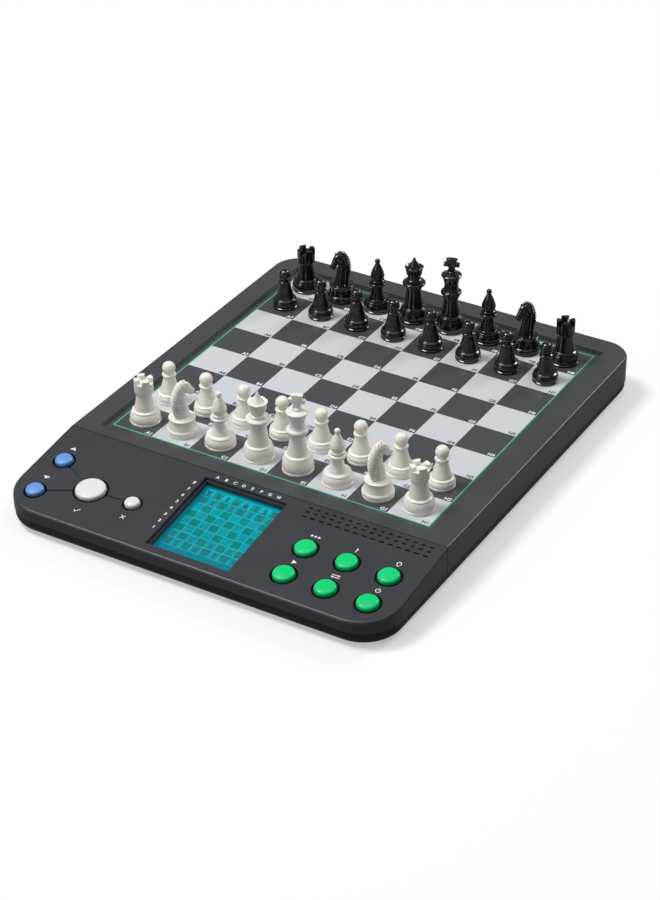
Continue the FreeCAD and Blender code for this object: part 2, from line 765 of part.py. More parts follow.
def circuit_screws():
    one = screw(BOARD_T + BOARD_SCREW_L - PILOT_SPARE)
    seat = -circuit_depth - BOARD_T
    return Part.makeCompound([on_panel(moved(one, x, y, seat)) for x, y in standoff_places])


def feet():
    """Rubber discs pressed into pockets under the case."""
    r = FOOT_D / 2
    outline = Profile(0, 0).line(r - FOOT_PROUD / 2, 0).arc(r, FOOT_PROUD / 2, QUARTER)
    outline.line(r, FOOT_PROUD + FOOT_SINK).line(0, FOOT_PROUD + FOOT_SINK)
    one = outline.turned()
    return Part.makeCompound([moved(one, x, y) for x, y in foot_places])


# Playing surface, display and circuit


def board_overlay():
    return square_block(overlay_margin, membrane_top_z, play_z, overlay_near)


def sensor_membrane():
    return square_block(overlay_margin, under_z, membrane_top_z, overlay_near)


def backing_plate():
    margin = overlay_margin + BACKING_OVERLAP
    return square_block(margin, backing_z, under_z, overlay_near + BACKING_OVERLAP)


def lcd_window():
    margin = WINDOW_SEAT - DISPLAY_STEP_W
    return on_panel(display_block(margin, -DISPLAY_DEPTH - WINDOW_T, -DISPLAY_DEPTH))


def lcd_panel():
    """Backlight with two panes of glass on it. The lower pane shows its contact edge."""
    margin = WINDOW_SEAT - DISPLAY_STEP_W
    top = -DISPLAY_DEPTH - WINDOW_T
    body = display_block(margin, -circuit_depth, top)
    near = -display_near - margin
    half = DISPLAY_W / 2 + margin
    ledge = box(-half, near, top - LCD_GLASS_T / 2, half, near + LCD_LEDGE, top)
    return on_panel(body.cut(ledge))


def main_board():
    top = -circuit_depth
    body = box(-circuit_x, -board_near, top - BOARD_T, circuit_x, -BOARD_FAR, top)
    tab = display_block(WINDOW_SEAT, top - BOARD_T, top)
    r = BLOB_D / 2
    blob = Profile(0, 0).line(r, 0).cap(BLOB_H).turned()
    spot = Vector(0, display_mid_y, top - BOARD_T)
    blob.Placement = Placement(spot, Rotation(Vector(1, 0, 0), 180))
    holes = [rod(SHANK_D + 2 * HOLE_GAP, top - BOARD_T, top, x, y) for x, y in standoff_places]
    return on_panel(fuse([body, tab, blob]).cut(Part.makeCompound(holes)))


def key_mat(members):
    """A rubber sheet on the circuit board with one dome under each key."""
    xs = [x for name, x, y, d in members]
    ys = [y for name, x, y, d in members]
    reach = DOME_D / 2 + MAT_EDGE
    base = -circuit_depth
    sheet = box(
        min(xs) - reach, min(ys) - reach, base, max(xs) + reach, max(ys) + reach, base + MAT_T
    )
    domes = []
    for x, y in zip(xs, ys):
        foot = Vector(x, y, base + MAT_T)
        domes.append(Part.makeCone(DOME_D / 2, DOME_TOP_D / 2, DOME_H, foot))
    holes = [rod(DOME_TOP_D, base, base + MAT_T, x, y) for x, y in zip(xs, ys)]
    for x, y in standoff_places:
        holes.append(rod(STANDOFF_D + 2 * HOLE_GAP, base, base + MAT_T, x, y))
    return on_panel(fuse([sheet] + domes).cut(Part.makeCompound(holes)))


def key(x, y, cap_d):
    """A moulded cap with a crowned top, a flange that keeps it in, and a plunger."""
    r = cap_d / 2
    flange_r = r + KEY_GAP + KEY_FLANGE_W
    flange_top = -PANEL_T - KEY_SEAT_GAP
    flange_low = flange_top - KEY_FLANGE_T
    roof = KEY_PROUD - KEY_CROWN - KEY_WALL
    outline = Profile(0, plunger_z).line(PLUNGER_D / 2, plunger_z).line(PLUNGER_D / 2, roof)
    outline.line(r - KEY_WALL, roof).line(r - KEY_WALL, flange_low).line(flange_r, flange_low)
    outline.line(flange_r, flange_top).line(r, flange_top)
    outline.line(r, KEY_PROUD - KEY_CROWN - KEY_ROUND)
    outline.arc(r - KEY_ROUND, KEY_PROUD - KEY_CROWN, 0.36)
    return on_panel(moved(outline.cap(KEY_PROUD).turned(), x, y))


def speaker():
    """An oblong driver: a flanged can with a dished cone and a magnet behind it."""
    top = -PANEL_T
    half = (SPEAKER_L - SPEAKER_W) / 2

    def oblong(width, z0, z1):
        r = width / 2
        return plate(SLOT_X - half - r, -SPEAKER_Y - r, SLOT_X + half + r, -SPEAKER_Y + r, z0, z1, r, r)

    rim = oblong(SPEAKER_W, top - SPEAKER_RIM_T, top)
    can = oblong(SPEAKER_W - 2 * SPEAKER_RIM_T, top - SPEAKER_RIM_T - SPEAKER_CAN_T, top)
    back = top - SPEAKER_RIM_T - SPEAKER_CAN_T
    magnet = rod(SPEAKER_MAGNET_D, back - SPEAKER_MAGNET_T, back, SLOT_X, -SPEAKER_Y)
    dish = oblong(SPEAKER_W - 4 * SPEAKER_RIM_T, top - SPEAKER_CONE_DEPTH, top)
    return on_panel(fuse([rim, can, magnet]).cut(dish))


# Chess men, each turned about its own axis with its base at z 0


def turned_foot(base_d, ring_d, ring_z):
    """The rim, the swelling skirt and the bead above it, which all kinds share."""
    r = base_d / 2
    outline = Profile(0, 0).line(r - RIM_ROUND, 0).arc(r, RIM_ROUND, QUARTER).line(r, RIM_H)
    outline.line(r - RIM_STEP, RIM_H).arc(ring_d / 2, ring_z, SKIRT_BULGE)
    return outline.arc(ring_d / 2, ring_z + BEAD_H, BEAD_BULGE).line(
        ring_d / 2 - BEAD_STEP, ring_z + BEAD_H
    )


def pawn():
    outline = turned_foot(PAWN_BASE_D, PAWN_RING_D, PAWN_RING_Z)
    outline.arc(PAWN_STEM_D / 2, PAWN_COLLAR_Z, STEM_BULGE)
    outline.disc(PAWN_COLLAR_D / 2, PAWN_COLLAR_Z, PAWN_COLLAR_H)
    r = PAWN_HEAD_D / 2
    drop = PAWN_H - r - PAWN_COLLAR_Z - PAWN_COLLAR_H
    neck = math.sqrt(max(r * r - drop * drop, r * r / 9))
    outline.line(neck, PAWN_COLLAR_Z + PAWN_COLLAR_H)
    return outline.ball(PAWN_HEAD_D, PAWN_H).turned()


def rook():
    outline = turned_foot(BASE_D, ROOK_RING_D, ROOK_RING_Z)
    outline.arc(ROOK_STEM_D / 2, ROOK_STEM_Z, STEM_BULGE)
    outline.arc(ROOK_HEAD_D / 2, ROOK_HEAD_Z, -0.2).line(ROOK_HEAD_D / 2, ROOK_H)
    outline.line(ROOK_CUP_D / 2, ROOK_H).line(ROOK_CUP_D / 2, ROOK_H - ROOK_CUP_DEPTH)
    outline.line(0, ROOK_H - ROOK_CUP_DEPTH)
    half = ROOK_NOTCH_W / 2
    low = ROOK_H - ROOK_NOTCH_DEPTH
    bar = box(-ROOK_HEAD_D, -half, low, ROOK_HEAD_D, half, ROOK_H)
    return outline.turned().cut(fuse([bar, moved(bar, turn=90)]))


def bishop():
    outline = turned_foot(BASE_D, BISHOP_RING_D, BISHOP_RING_Z)
    outline.arc(BISHOP_STEM_D / 2, BISHOP_COLLAR_Z, STEM_BULGE)
    small_r = (BISHOP_STEM_D + BISHOP_COLLAR_D) / 4
    outline.disc(small_r, BISHOP_COLLAR_Z, SMALL_BEAD_H)
    z = BISHOP_COLLAR_Z + SMALL_BEAD_H
    outline.disc(BISHOP_COLLAR_D / 2, z, BISHOP_COLLAR_H)
    z += BISHOP_COLLAR_H
    outline.line(BISHOP_NECK_D / 2, z).arc(BISHOP_HEAD_D / 2, BISHOP_HEAD_Z, 0.2)
    r = BISHOP_BALL_D / 2
    neck = BISHOP_BALL_NECK_D / 2
    neck_z = BISHOP_H - r - math.sqrt(r * r - neck * neck)
    outline.arc(neck, neck_z, 0.22).ball(BISHOP_BALL_D, BISHOP_H)
    body = outline.turned()
    cutter = box(-BISHOP_HEAD_D, 0, -BISHOP_SLOT_W / 2, BISHOP_HEAD_D, BISHOP_HEAD_D, BISHOP_SLOT_W / 2)
    cutter.Placement = Placement(
        Vector(0, BISHOP_SLOT_W, BISHOP_HEAD_Z), Rotation(Vector(1, 0, 0), BISHOP_SLOT_TILT)
    )
    return body.cut(cutter)


def queen():
    outline = turned_foot(BASE_D, QUEEN_RING_D, QUEEN_RING_Z)
    outline.arc(QUEEN_STEM_D / 2, QUEEN_COLLAR_Z, STEM_BULGE / 2)
    outline.disc((QUEEN_STEM_D + QUEEN_COLLAR_D) / 4, QUEEN_COLLAR_Z, SMALL_BEAD_H)
    z = QUEEN_COLLAR_Z + SMALL_BEAD_H
    outline.disc(QUEEN_COLLAR_D / 2, z, QUEEN_COLLAR_H)
    z += QUEEN_COLLAR_H
    outline.line(QUEEN_BAND_D / 2 - SMALL_BEAD_H / 2, z)
    outline.arc(QUEEN_BAND_D / 2 - SMALL_BEAD_H / 2, z + SMALL_BEAD_H, -0.2)
    z += SMALL_BEAD_H
    outline.disc(QUEEN_BAND_D / 2, z, SMALL_BEAD_H)
    z += SMALL_BEAD_H
    r = QUEEN_CROWN_D / 2
    outline.line(QUEEN_NECK_D / 2, z).arc(r, QUEEN_CROWN_Z, -0.12)
    inner = r - QUEEN_CROWN_T
    outline.line(inner, QUEEN_CROWN_Z).line(inner - QUEEN_CROWN_T / 2, QUEEN_CROWN_Z - QUEEN_CROWN_T)
    tip = QUEEN_TIP_D / 2
    outline.arc(tip, QUEEN_H - tip, 0.1).cap(QUEEN_H)
    cuts = []
    for i in range(QUEEN_POINTS):
        bar = Part.makeCylinder(
            QUEEN_SCALLOP_D / 2, r, Vector(inner - QUEEN_CROWN_T / 4, 0, QUEEN_CROWN_Z), Vector(1, 0, 0)
        )
        cuts.append(moved(bar, turn=i * 360 / QUEEN_POINTS))
    return outline.turned().cut(Part.makeCompound(cuts))


def cross():
    """A flared cross, standing on z 0. Its arms widen outwards along shallow arcs."""
    half_w = CROSS_W / 2
    half_h = CROSS_H / 2
    inner = CROSS_WAIST / 2
    outer = CROSS_FLARE / 2
    quarter = [(outer, -half_h), (inner, -inner), (half_w, -outer)]
    corners = quarter + [(x, -z) for x, z in reversed(quarter)]
    corners += [(-x, -z) for x, z in quarter] + [(-x, z) for x, z in reversed(quarter)]
    spots = [Vector(x, 0, z) for x, z in corners]
    edges = []
    for i, a in enumerate(spots):
        b = spots[(i + 1) % len(spots)]
        straight = i % 3 == 2
        edges.append(Part.LineSegment(a, b).toShape() if straight else bowed(a, b, CROSS_BULGE))
    body = Part.Face(Part.Wire(edges)).extrude(Vector(0, CROSS_T, 0))
    body.translate(Vector(0, -CROSS_T / 2, half_h))
    return body


def king():
    outline = turned_foot(BASE_D, KING_RING_D, KING_RING_Z)
    outline.arc(KING_STEM_D / 2, KING_COLLAR_Z, STEM_BULGE / 2)
    outline.disc((KING_STEM_D + KING_COLLAR_D) / 4, KING_COLLAR_Z, SMALL_BEAD_H)
    z = KING_COLLAR_Z + SMALL_BEAD_H
    outline.disc(KING_COLLAR_D / 2, z, KING_COLLAR_H)
    z += KING_COLLAR_H
    outline.disc(KING_BAND_D / 2, z, SMALL_BEAD_H)
    z += SMALL_BEAD_H
    r = KING_HEAD_D / 2
    outline.line(KING_NECK_D / 2, z).arc(r, KING_HEAD_Z, -0.1)
    outline.arc(r - KING_RIM_H / 2, KING_HEAD_Z + KING_RIM_H, 0.5)
    knob_z = KING_HEAD_Z + KING_RIM_H + KING_DOME_H
    outline.arc(KING_KNOB_D / 2, knob_z, -0.1)
    cross_z = KING_H - CROSS_H
    outline.arc(CROSS_WAIST, cross_z + CROSS_WAIST / 2, 0.3).line(0, cross_z + CROSS_WAIST / 2)
    emblem = cross()
    emblem.translate(Vector(0, 0, cross_z))
    return fuse([outline.turned(), emblem])


def oval(y, z, depth, width, lean):
    """An oval section in the knight's plane of symmetry, leaning forward by lean degrees."""
    ring = Part.Ellipse(Vector(0, 0, 0), depth / 2, width / 2).toShape()
    turn = Rotation(Vector(1, 0, 0), -lean).multiply(Rotation(Vector(0, 0, 1), 90))
    ring.Placement = Placement(Vector(0, y, z), turn)
    return Part.Wire([ring])


def mane(back_y, foot_z, poll_y, poll_z):
    """A rope of hair along the crest, grooved aslant into locks."""
    a = Vector(0, back_y, foot_z)
    c = Vector(0, poll_y, poll_z)
    chord = c - a
    b = (a + c) * 0.5 + Vector(0, -chord.z, chord.y) * 0.2
    crest = Part.Arc(a, b, c).toShape()
    hub = crest.Curve.Center
    way = crest.Curve.Axis
    sweep = math.degrees(crest.LastParameter - crest.FirstParameter)
    section = Part.Wire([Part.Circle(a, crest.tangentAt(crest.FirstParameter), KNIGHT_MANE_D / 2).toShape()])
    rope = Part.Face(section).revolve(hub, way, sweep)
    ends = [Part.makeSphere(KNIGHT_MANE_D / 2, p) for p in (a, c)]
    rope = fuse([rope] + ends)
    grooves = []
    for i in range(1, KNIGHT_MANE_LOCKS):
        t = crest.FirstParameter + (crest.LastParameter - crest.FirstParameter) * i / KNIGHT_MANE_LOCKS
        at = crest.valueAt(t)
        out = at - hub
        out.normalize()
        axis = Rotation(out, KNIGHT_LOCK_TILT).multVec(crest.tangentAt(t))
        grooves.append(Part.makeTorus(KNIGHT_MANE_D / 2, KNIGHT_LOCK_DEPTH, at, axis))
    for ring in grooves:
        rope = rope.cut(ring)
    return rope


def knight():
    """A drum with a horse's neck and head. It looks along +Y."""
    r = KNIGHT_DRUM_D / 2
    base_r = BASE_D / 2
    outline = Profile(0, 0).line(base_r - RIM_ROUND, 0).arc(base_r, RIM_ROUND, QUARTER)
    outline.line(base_r, RIM_H).line(base_r - RIM_STEP, RIM_H)
    outline.arc(r, KNIGHT_DRUM_Z - KNIGHT_DRUM_ROUND, 0.1)
    outline.arc(r - KNIGHT_DRUM_ROUND, KNIGHT_DRUM_Z, QUARTER).line(0, KNIGHT_DRUM_Z)
    drum = outline.turned()
    depth = KNIGHT_NECK_DEPTH
    width = KNIGHT_NECK_W
    height = KNIGHT_NECK_H
    foot = KNIGHT_DRUM_Z - KNIGHT_DRUM_ROUND
    bow = KNIGHT_CREST_BACK
    neck = Part.makeLoft(
        [
            oval(0, foot, depth, width, 0),
            oval(-bow / 2, foot + 0.25 * height, 0.84 * depth, 0.84 * width, 4),
            oval(-bow, foot + 0.55 * height, 0.68 * depth, 0.70 * width, 12),
            oval(-bow / 3, foot + 0.85 * height, 0.58 * depth, 0.60 * width, 32),
            oval(bow, foot + 1.02 * height, 0.40 * depth, 0.46 * width, 48),
        ],
        True,
    )
    drop = math.radians(KNIGHT_HEAD_DROP)
    along = Vector(0, math.cos(drop), -math.sin(drop))
    poll = Vector(0, -bow / 2, foot + 0.98 * height)
    lean = 90 + KNIGHT_HEAD_DROP
    stations = ((0.0, 0.80, 0.80), (0.30, 1.0, 1.0), (0.62, 0.74, 0.76), (0.90, 0.60, 0.66), (1.08, 0.34, 0.34))
    sections = []
    for share, deep, wide in stations:
        spot = poll + along * (share * KNIGHT_HEAD_L)
        sections.append(oval(spot.y, spot.z, deep * KNIGHT_HEAD_DEPTH, wide * KNIGHT_HEAD_W, lean))
    head = Part.makeLoft(sections, True)
    ears = []
    for side in (-1, 1):
        root = poll + Vector(side * KNIGHT_EAR_D * 0.62, KNIGHT_EAR_D * 0.7, KNIGHT_HEAD_DEPTH * 0.28)
        ears.append(
            Part.makeCone(KNIGHT_EAR_D / 2, KNIGHT_EAR_D / 8, KNIGHT_EAR_H, root, Vector(0, 0.1, 1))
        )
    hair = mane(-0.36 * depth, foot + KNIGHT_MANE_D / 2, -bow / 2, poll.z + 0.25 * KNIGHT_HEAD_DEPTH)
    return fuse([drum, neck, head, hair] + ears)


def place_men():
    """Sets both sides up for a game, one node for each man."""
    shapes = {
        "rook": rook(),
        "knight": knight(),
        "bishop": bishop(),
        "queen": queen(),
        "king": king(),
        "pawn": pawn(),
    }
    turns = {"rook": ROOK_TURN, "bishop": BISHOP_TURN, "knight": KNIGHT_TURN}
    back_rank = ("rook", "knight", "bishop", "queen", "king", "bishop", "knight", "rook")
    sides = (("white", 0, 1, 0.0), ("black", FILES - 1, FILES - 2, 180.0))
    for side, home, front, facing in sides:
        for column, kind in enumerate(back_rank):
            letter = "abcdefgh"[column]
            x = -board_x + (column + 0.5) * SQUARE
            turn = facing + turns.get(kind, 0.0)
            for rank, man in ((home, kind), (front, "pawn")):
                y = board_near_y + (rank + 0.5) * SQUARE
                name = f"{side}_{man}" if man in ("king", "queen") else f"{side}_{man}_{letter}"
                save(name, moved(shapes[man], x, y, play_z, turn))


save("base_case", base_case())
save("board_frame", board_frame())
save("control_panel", control_panel())
save("board_overlay", board_overlay())
save("sensor_membrane", sensor_membrane())
save("backing_plate", backing_plate())
save("lcd_window", lcd_window())
save("lcd_panel", lcd_panel())
save("main_board", main_board())
save("key_mat_left", key_mat(keys[:4]))
save("key_mat_right", key_mat(keys[4:]))
save("speaker", speaker())
save("batteries", batteries())
save("battery_contacts", battery_contacts())
save("battery_door", battery_door())
save("case_screws", case_screws())
save("circuit_screws", circuit_screws())
save("feet", feet())
for key_name, key_x, key_y, key_d in keys:
    save(key_name, key(key_x, key_y, key_d))
place_men()
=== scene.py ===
import math

import bmesh
import bpy
from mathutils import Matrix, Vector


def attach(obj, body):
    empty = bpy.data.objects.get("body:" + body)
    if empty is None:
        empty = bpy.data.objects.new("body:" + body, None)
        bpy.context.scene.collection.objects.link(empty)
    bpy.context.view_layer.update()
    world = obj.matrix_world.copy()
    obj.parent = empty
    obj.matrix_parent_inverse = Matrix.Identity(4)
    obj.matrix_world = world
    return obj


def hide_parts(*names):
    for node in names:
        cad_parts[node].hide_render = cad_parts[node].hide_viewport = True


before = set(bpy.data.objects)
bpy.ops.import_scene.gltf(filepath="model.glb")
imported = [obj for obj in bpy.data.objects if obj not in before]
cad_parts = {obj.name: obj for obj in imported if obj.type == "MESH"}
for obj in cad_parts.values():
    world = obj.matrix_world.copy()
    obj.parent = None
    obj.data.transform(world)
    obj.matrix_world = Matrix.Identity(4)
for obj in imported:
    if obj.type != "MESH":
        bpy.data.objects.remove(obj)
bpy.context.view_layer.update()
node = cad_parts


# Case: two upper shells and a lower shell moulded in charcoal ABS with a fine spark-eroded grain.
# Self-tapping screws from below hold them together, and the battery door closes the lower one.
class Val:
    """A value or colour in a finish. Arithmetic on it adds Math nodes."""

    def __init__(self, finish, socket):
        self.finish = finish
        self.socket = socket

    def math(self, operation, *values):
        sockets = dict(enumerate(values))
        return self.finish.add("ShaderNodeMath", {"operation": operation}, sockets)

    def __add__(self, other):
        return self.math("ADD", self, other)

    __radd__ = __add__

    def __mul__(self, other):
        return self.math("MULTIPLY", self, other)

    __rmul__ = __mul__

    def __sub__(self, other):
        return self.math("SUBTRACT", self, other)

    def __rsub__(self, other):
        return self.math("SUBTRACT", other, self)

    def __truediv__(self, other):
        return self.math("DIVIDE", self, other)

    def __mod__(self, other):
        return self.math("FLOORED_MODULO", self, other)

    def __lt__(self, other):
        return self.math("LESS_THAN", self, other)

    def __gt__(self, other):
        return self.math("GREATER_THAN", self, other)

    def __abs__(self):
        return self.math("ABSOLUTE", self)

    def __floor__(self):
        return self.math("FLOOR", self)

    def either(self, other):
        return self.math("MAXIMUM", self, other)


class Finish:
    """A procedural material: one Principled shader and the nodes that feed it."""

    def __init__(self, name, **constants):
        self.material = bpy.data.materials.new(name)
        self.material.use_nodes = True
        self.tree = self.material.node_tree
        self.tree.nodes.clear()
        self.shader = self.tree.nodes.new("ShaderNodeBsdfPrincipled")
        output = self.tree.nodes.new("ShaderNodeOutputMaterial")
        self.tree.links.new(self.shader.outputs[0], output.inputs["Surface"])
        self.place = self.add("ShaderNodeTexCoord", out="Object")
        self.feed(**constants)

    def add(self, kind, settings=None, sockets=None, out=0):
        made = self.tree.nodes.new(kind)
        for key, value in (settings or {}).items():
            setattr(made, key, value)
        self.connect(made, sockets or {})
        return Val(self, made.outputs[out])

    def connect(self, made, sockets):
        for key, value in sockets.items():
            if isinstance(value, Val):
                self.tree.links.new(value.socket, made.inputs[key])
            else:
                made.inputs[key].default_value = value

    def feed(self, **values):
        """Sets or links the shader's own sockets, such as Base_Color or Roughness."""
        self.connect(self.shader, {key.replace("_", " "): value for key, value in values.items()})

    def axes(self):
        return [self.add("ShaderNodeSeparateXYZ", sockets={0: self.place}, out=i) for i in range(3)]

    def noise(self, size, detail=2.0):
        """Cloudy noise from 0 to 1 whose blobs are about size metres across."""
        return self.add(
            "ShaderNodeTexNoise", sockets={"Vector": self.place, "Scale": 1 / size, "Detail": detail}
        )

    def blend(self, share, a, b):
        """Colour a where share is 0 and b where it is 1."""
        ends = {0: share}
        ends[6] = a if isinstance(a, Val) else (*a, 1)
        ends[7] = b if isinstance(b, Val) else (*b, 1)
        return self.add("ShaderNodeMix", {"data_type": "RGBA"}, ends, out=2)

    def bump(self, height, depth, strength=1.0):
        sockets = {"Height": height, "Distance": depth, "Strength": strength}
        self.feed(Normal=self.add("ShaderNodeBump", sockets=sockets))


CLOUD_SIZE = 0.03
GLOSS_SHIFT = 0.05
GLOSS_SPREAD = 0.06


def moulded(name, colour, roughness, grain=0.0005, depth=0.00002, cloud=0.12, **constants):
    """Moulded plastic: a fine grain, slightly cloudy in colour and gloss."""
    finish = Finish(name, **constants)
    cloudy = finish.noise(CLOUD_SIZE)
    shade = tuple(c * (1 - cloud) for c in colour)
    light = tuple(c * (1 + cloud) for c in colour)
    finish.feed(Base_Color=finish.blend(cloudy, shade, light))
    pits = finish.noise(grain, 1.0)
    finish.feed(Roughness=roughness - GLOSS_SHIFT + GLOSS_SPREAD * cloudy + GLOSS_SPREAD * pits)
    finish.bump(pits, depth)
    return finish


def clad(finish, *names):
    """Gives carried-over nodes a finish."""
    for name in names:
        node[name].data.materials.clear()
        node[name].data.materials.append(finish.material)


PANEL_CHARCOAL = (0.042, 0.0445, 0.051)
# The frame is the panel's charcoal plastic painted about a third lighter: painted light standing in for
# the brighter light on its flat top.
FRAME_CHARCOAL_PAINTED_LIGHT = (0.055, 0.058, 0.066)
BASE_CHARCOAL = (0.011, 0.0115, 0.0135)
UPPER_ROUGHNESS = 0.30
BASE_ROUGHNESS = 0.42
SATIN = {"Specular_IOR_Level": 0.3}
clad(moulded("charcoal_shell", PANEL_CHARCOAL, UPPER_ROUGHNESS, **SATIN), "control_panel")
clad(moulded("charcoal_frame", FRAME_CHARCOAL_PAINTED_LIGHT, UPPER_ROUGHNESS, **SATIN), "board_frame")
clad(moulded("charcoal_base", BASE_CHARCOAL, BASE_ROUGHNESS, **SATIN), "base_case", "battery_door")


# Playing surface: a printed film with dark and silver squares inside a thin green line, over a
# pressure membrane and a stiff plate. Its edges lie under the lip of the frame.
SQUARE = 0.026
FILES = 8
BOARD_HALF = FILES * SQUARE / 2
BOARD_MID_Y = 0.034
LINE_W = 0.0007
GLOW_W = 0.0022
PLAY_Z = 0.0244
FLECK_SIZE = 0.0004
FILM_CLOUD = 0.05
TRACES_PER_METRE = 76.9
TRACE_SHARE = 0.12

film = Finish("printed_film", Coat_Weight=0.15, Coat_Roughness=0.2)
across, along, _ = film.axes()
column = math.floor((across + BOARD_HALF) / SQUARE)
rank = math.floor((along - (BOARD_MID_Y - BOARD_HALF)) / SQUARE)
pale = (column + rank) % 2.0
outside = (abs(across) - BOARD_HALF).either(abs(along - BOARD_MID_Y) - BOARD_HALF)
fleck = film.noise(FLECK_SIZE, 1.0)
cloud = film.noise(FILM_CLOUD)
silver = film.blend(fleck, (0.53, 0.55, 0.585), (0.60, 0.62, 0.655))
slate = film.blend(fleck, (0.050, 0.053, 0.058), (0.060, 0.063, 0.070))
squares = film.blend(pale, slate, silver)
margin = film.blend(cloud, (0.040, 0.043, 0.046), (0.052, 0.055, 0.060))
margin = film.blend(outside < GLOW_W, margin, (0.028, 0.075, 0.062))
margin = film.blend(outside < LINE_W, margin, (0.11, 0.43, 0.31))
film.feed(Base_Color=film.blend(outside > 0.0, squares, margin))
film.feed(Roughness=0.30 + 0.08 * fleck + 0.05 * cloud)
film.bump(fleck, 0.00001, 0.5)
clad(film, "board_overlay")

sensor_film = Finish("sensor_film", Roughness=0.4)
across, along, _ = sensor_film.axes()
rows, columns = [(way * TRACES_PER_METRE % 1.0) < TRACE_SHARE for way in (across, along)]
traces = rows.either(columns)
sensor_film.feed(Base_Color=sensor_film.blend(traces, (0.62, 0.60, 0.50), (0.08, 0.08, 0.09)))
clad(sensor_film, "sensor_membrane")
clad(moulded("plate_plastic", (0.12, 0.12, 0.13), 0.5), "backing_plate")


# Square names: screen-printed in the near right corner of each square, pale on the dark squares
# and dark on the silver ones.
NAME_SIZE = 0.0036
NAME_IN = 0.0009
STROKE_SWELL = 0.03
INK_T = 0.00003
FILE_LETTERS = "ABCDEFGH"


def put(name, data):
    """A new object in the scene, at the origin."""
    made = bpy.data.objects.new(name, data)
    bpy.context.scene.collection.objects.link(made)
    return made


def plain_mesh(holder):
    """The finished shape of a text or of a node tree's object, which is then removed."""
    bpy.context.view_layer.update()
    finished = holder.evaluated_get(bpy.context.evaluated_depsgraph_get())
    mesh = bpy.data.meshes.new_from_object(finished)
    bpy.data.objects.remove(holder)
    return mesh


def lettering(words, size, align="CENTER"):
    """Flat lettering as a thin closed mesh, with its middle or end at the origin."""
    curve = bpy.data.curves.new("lettering", "FONT")
    curve.body = words
    curve.size = size
    curve.align_x = align
    curve.extrude = INK_T / 2
    curve.offset = STROKE_SWELL * size
    return plain_mesh(put("lettering", curve))


def gathered(name, meshes, finish, body):
    """Joins (mesh, matrix) pairs into one piece that rides on a body."""
    spots = []
    faces = []
    for mesh, matrix in meshes:
        first = len(spots)
        spots += [matrix @ v.co for v in mesh.vertices]
        faces += [[first + i for i in polygon.vertices] for polygon in mesh.polygons]
    joined = bpy.data.meshes.new(name)
    joined.from_pydata(spots, [], faces)
    joined.materials.append(finish.material)
    piece = put(name, joined)
    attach(piece, body)
    return piece


def ink(name, colour):
    """Screen ink, also used for the painted shade round the keys: nearly flat, a little uneven in cover.
    """
    finish = Finish(name, Roughness=0.5)
    thin = finish.noise(0.0006)
    finish.feed(Base_Color=finish.blend(thin, tuple(0.86 * c for c in colour), colour))
    return finish


names = {0: [], 1: []}
for column, letter in enumerate(FILE_LETTERS):
    for rank in range(FILES):
        mesh = lettering(letter + str(rank + 1), NAME_SIZE, "RIGHT")
        x = -BOARD_HALF + (column + 1) * SQUARE - NAME_IN
        y = BOARD_MID_Y - BOARD_HALF + rank * SQUARE + NAME_IN
        place = Matrix.Translation((x, y, PLAY_Z + INK_T / 2))
        names[(column + rank) % 2].append((mesh, place))
pale_ink = ink("pale_ink", (0.78, 0.79, 0.80))
dark_ink = ink("dark_ink", (0.025, 0.026, 0.03))
gathered("square_names_pale", names[0], pale_ink, "chassis")
gathered("square_names_dark", names[1], dark_ink, "chassis")


# Display: a liquid crystal on a lit cyan backing under a clear window. It shows a small board
# with the men on it and a row of plain digits below.
PANEL_ORIGIN = Vector((0, -0.085, 0.026))
PANEL_TILT = math.radians(7.5)
PANEL = Matrix.Translation(PANEL_ORIGIN) @ Matrix.Rotation(PANEL_TILT, 4, "X")
LCD_DEPTH = 0.0058
MINI_HALF = 0.0246
MINI_FAR = -0.0088
MINI_PITCH = 2 * MINI_HALF / FILES
RIM_W = 0.00032
DIGIT_SIZE = 0.0052
DIGIT_X = 0.012
DIGIT_Y = -0.0632
CRYSTAL_DARK = (0.0, 0.19, 0.27)

crystal = Finish("lit_crystal", Roughness=0.18, Specular_IOR_Level=0.1, Emission_Strength=0.35)
across, along, up = crystal.axes()
down = (along - PANEL_ORIGIN.y) * math.cos(PANEL_TILT) + (up - PANEL_ORIGIN.z) * math.sin(PANEL_TILT)
column = math.floor((across + MINI_HALF) / MINI_PITCH)
rank = math.floor((down - (MINI_FAR - 2 * MINI_HALF)) / MINI_PITCH)
dark = (column + rank + 1.0) % 2.0
past_side = abs(across) - MINI_HALF
past_end = abs(down - (MINI_FAR - MINI_HALF)) - MINI_HALF
off_board = past_side.either(past_end) > 0.0
haze = crystal.noise(0.012)
water = crystal.blend(haze, (0.0, 0.46, 0.55), (0.0, 0.51, 0.62))
cells = crystal.blend(dark, water, (0.0, 0.34, 0.31))
shown = crystal.blend(off_board, cells, (0.0, 0.36, 0.50))
crystal.feed(Base_Color=shown, Emission_Color=shown)
clad(crystal, "lcd_panel")

window = Finish("clear_window", Roughness=0.05, IOR=1.49, Specular_IOR_Level=0.1)
smear = window.noise(0.01)
window.feed(Base_Color=window.blend(smear, (0.015, 0.05, 0.06), (0.02, 0.07, 0.08)))
window.feed(Alpha=0.10 + 0.04 * smear)
window.material.surface_render_method = "BLENDED"
clad(window, "lcd_window")


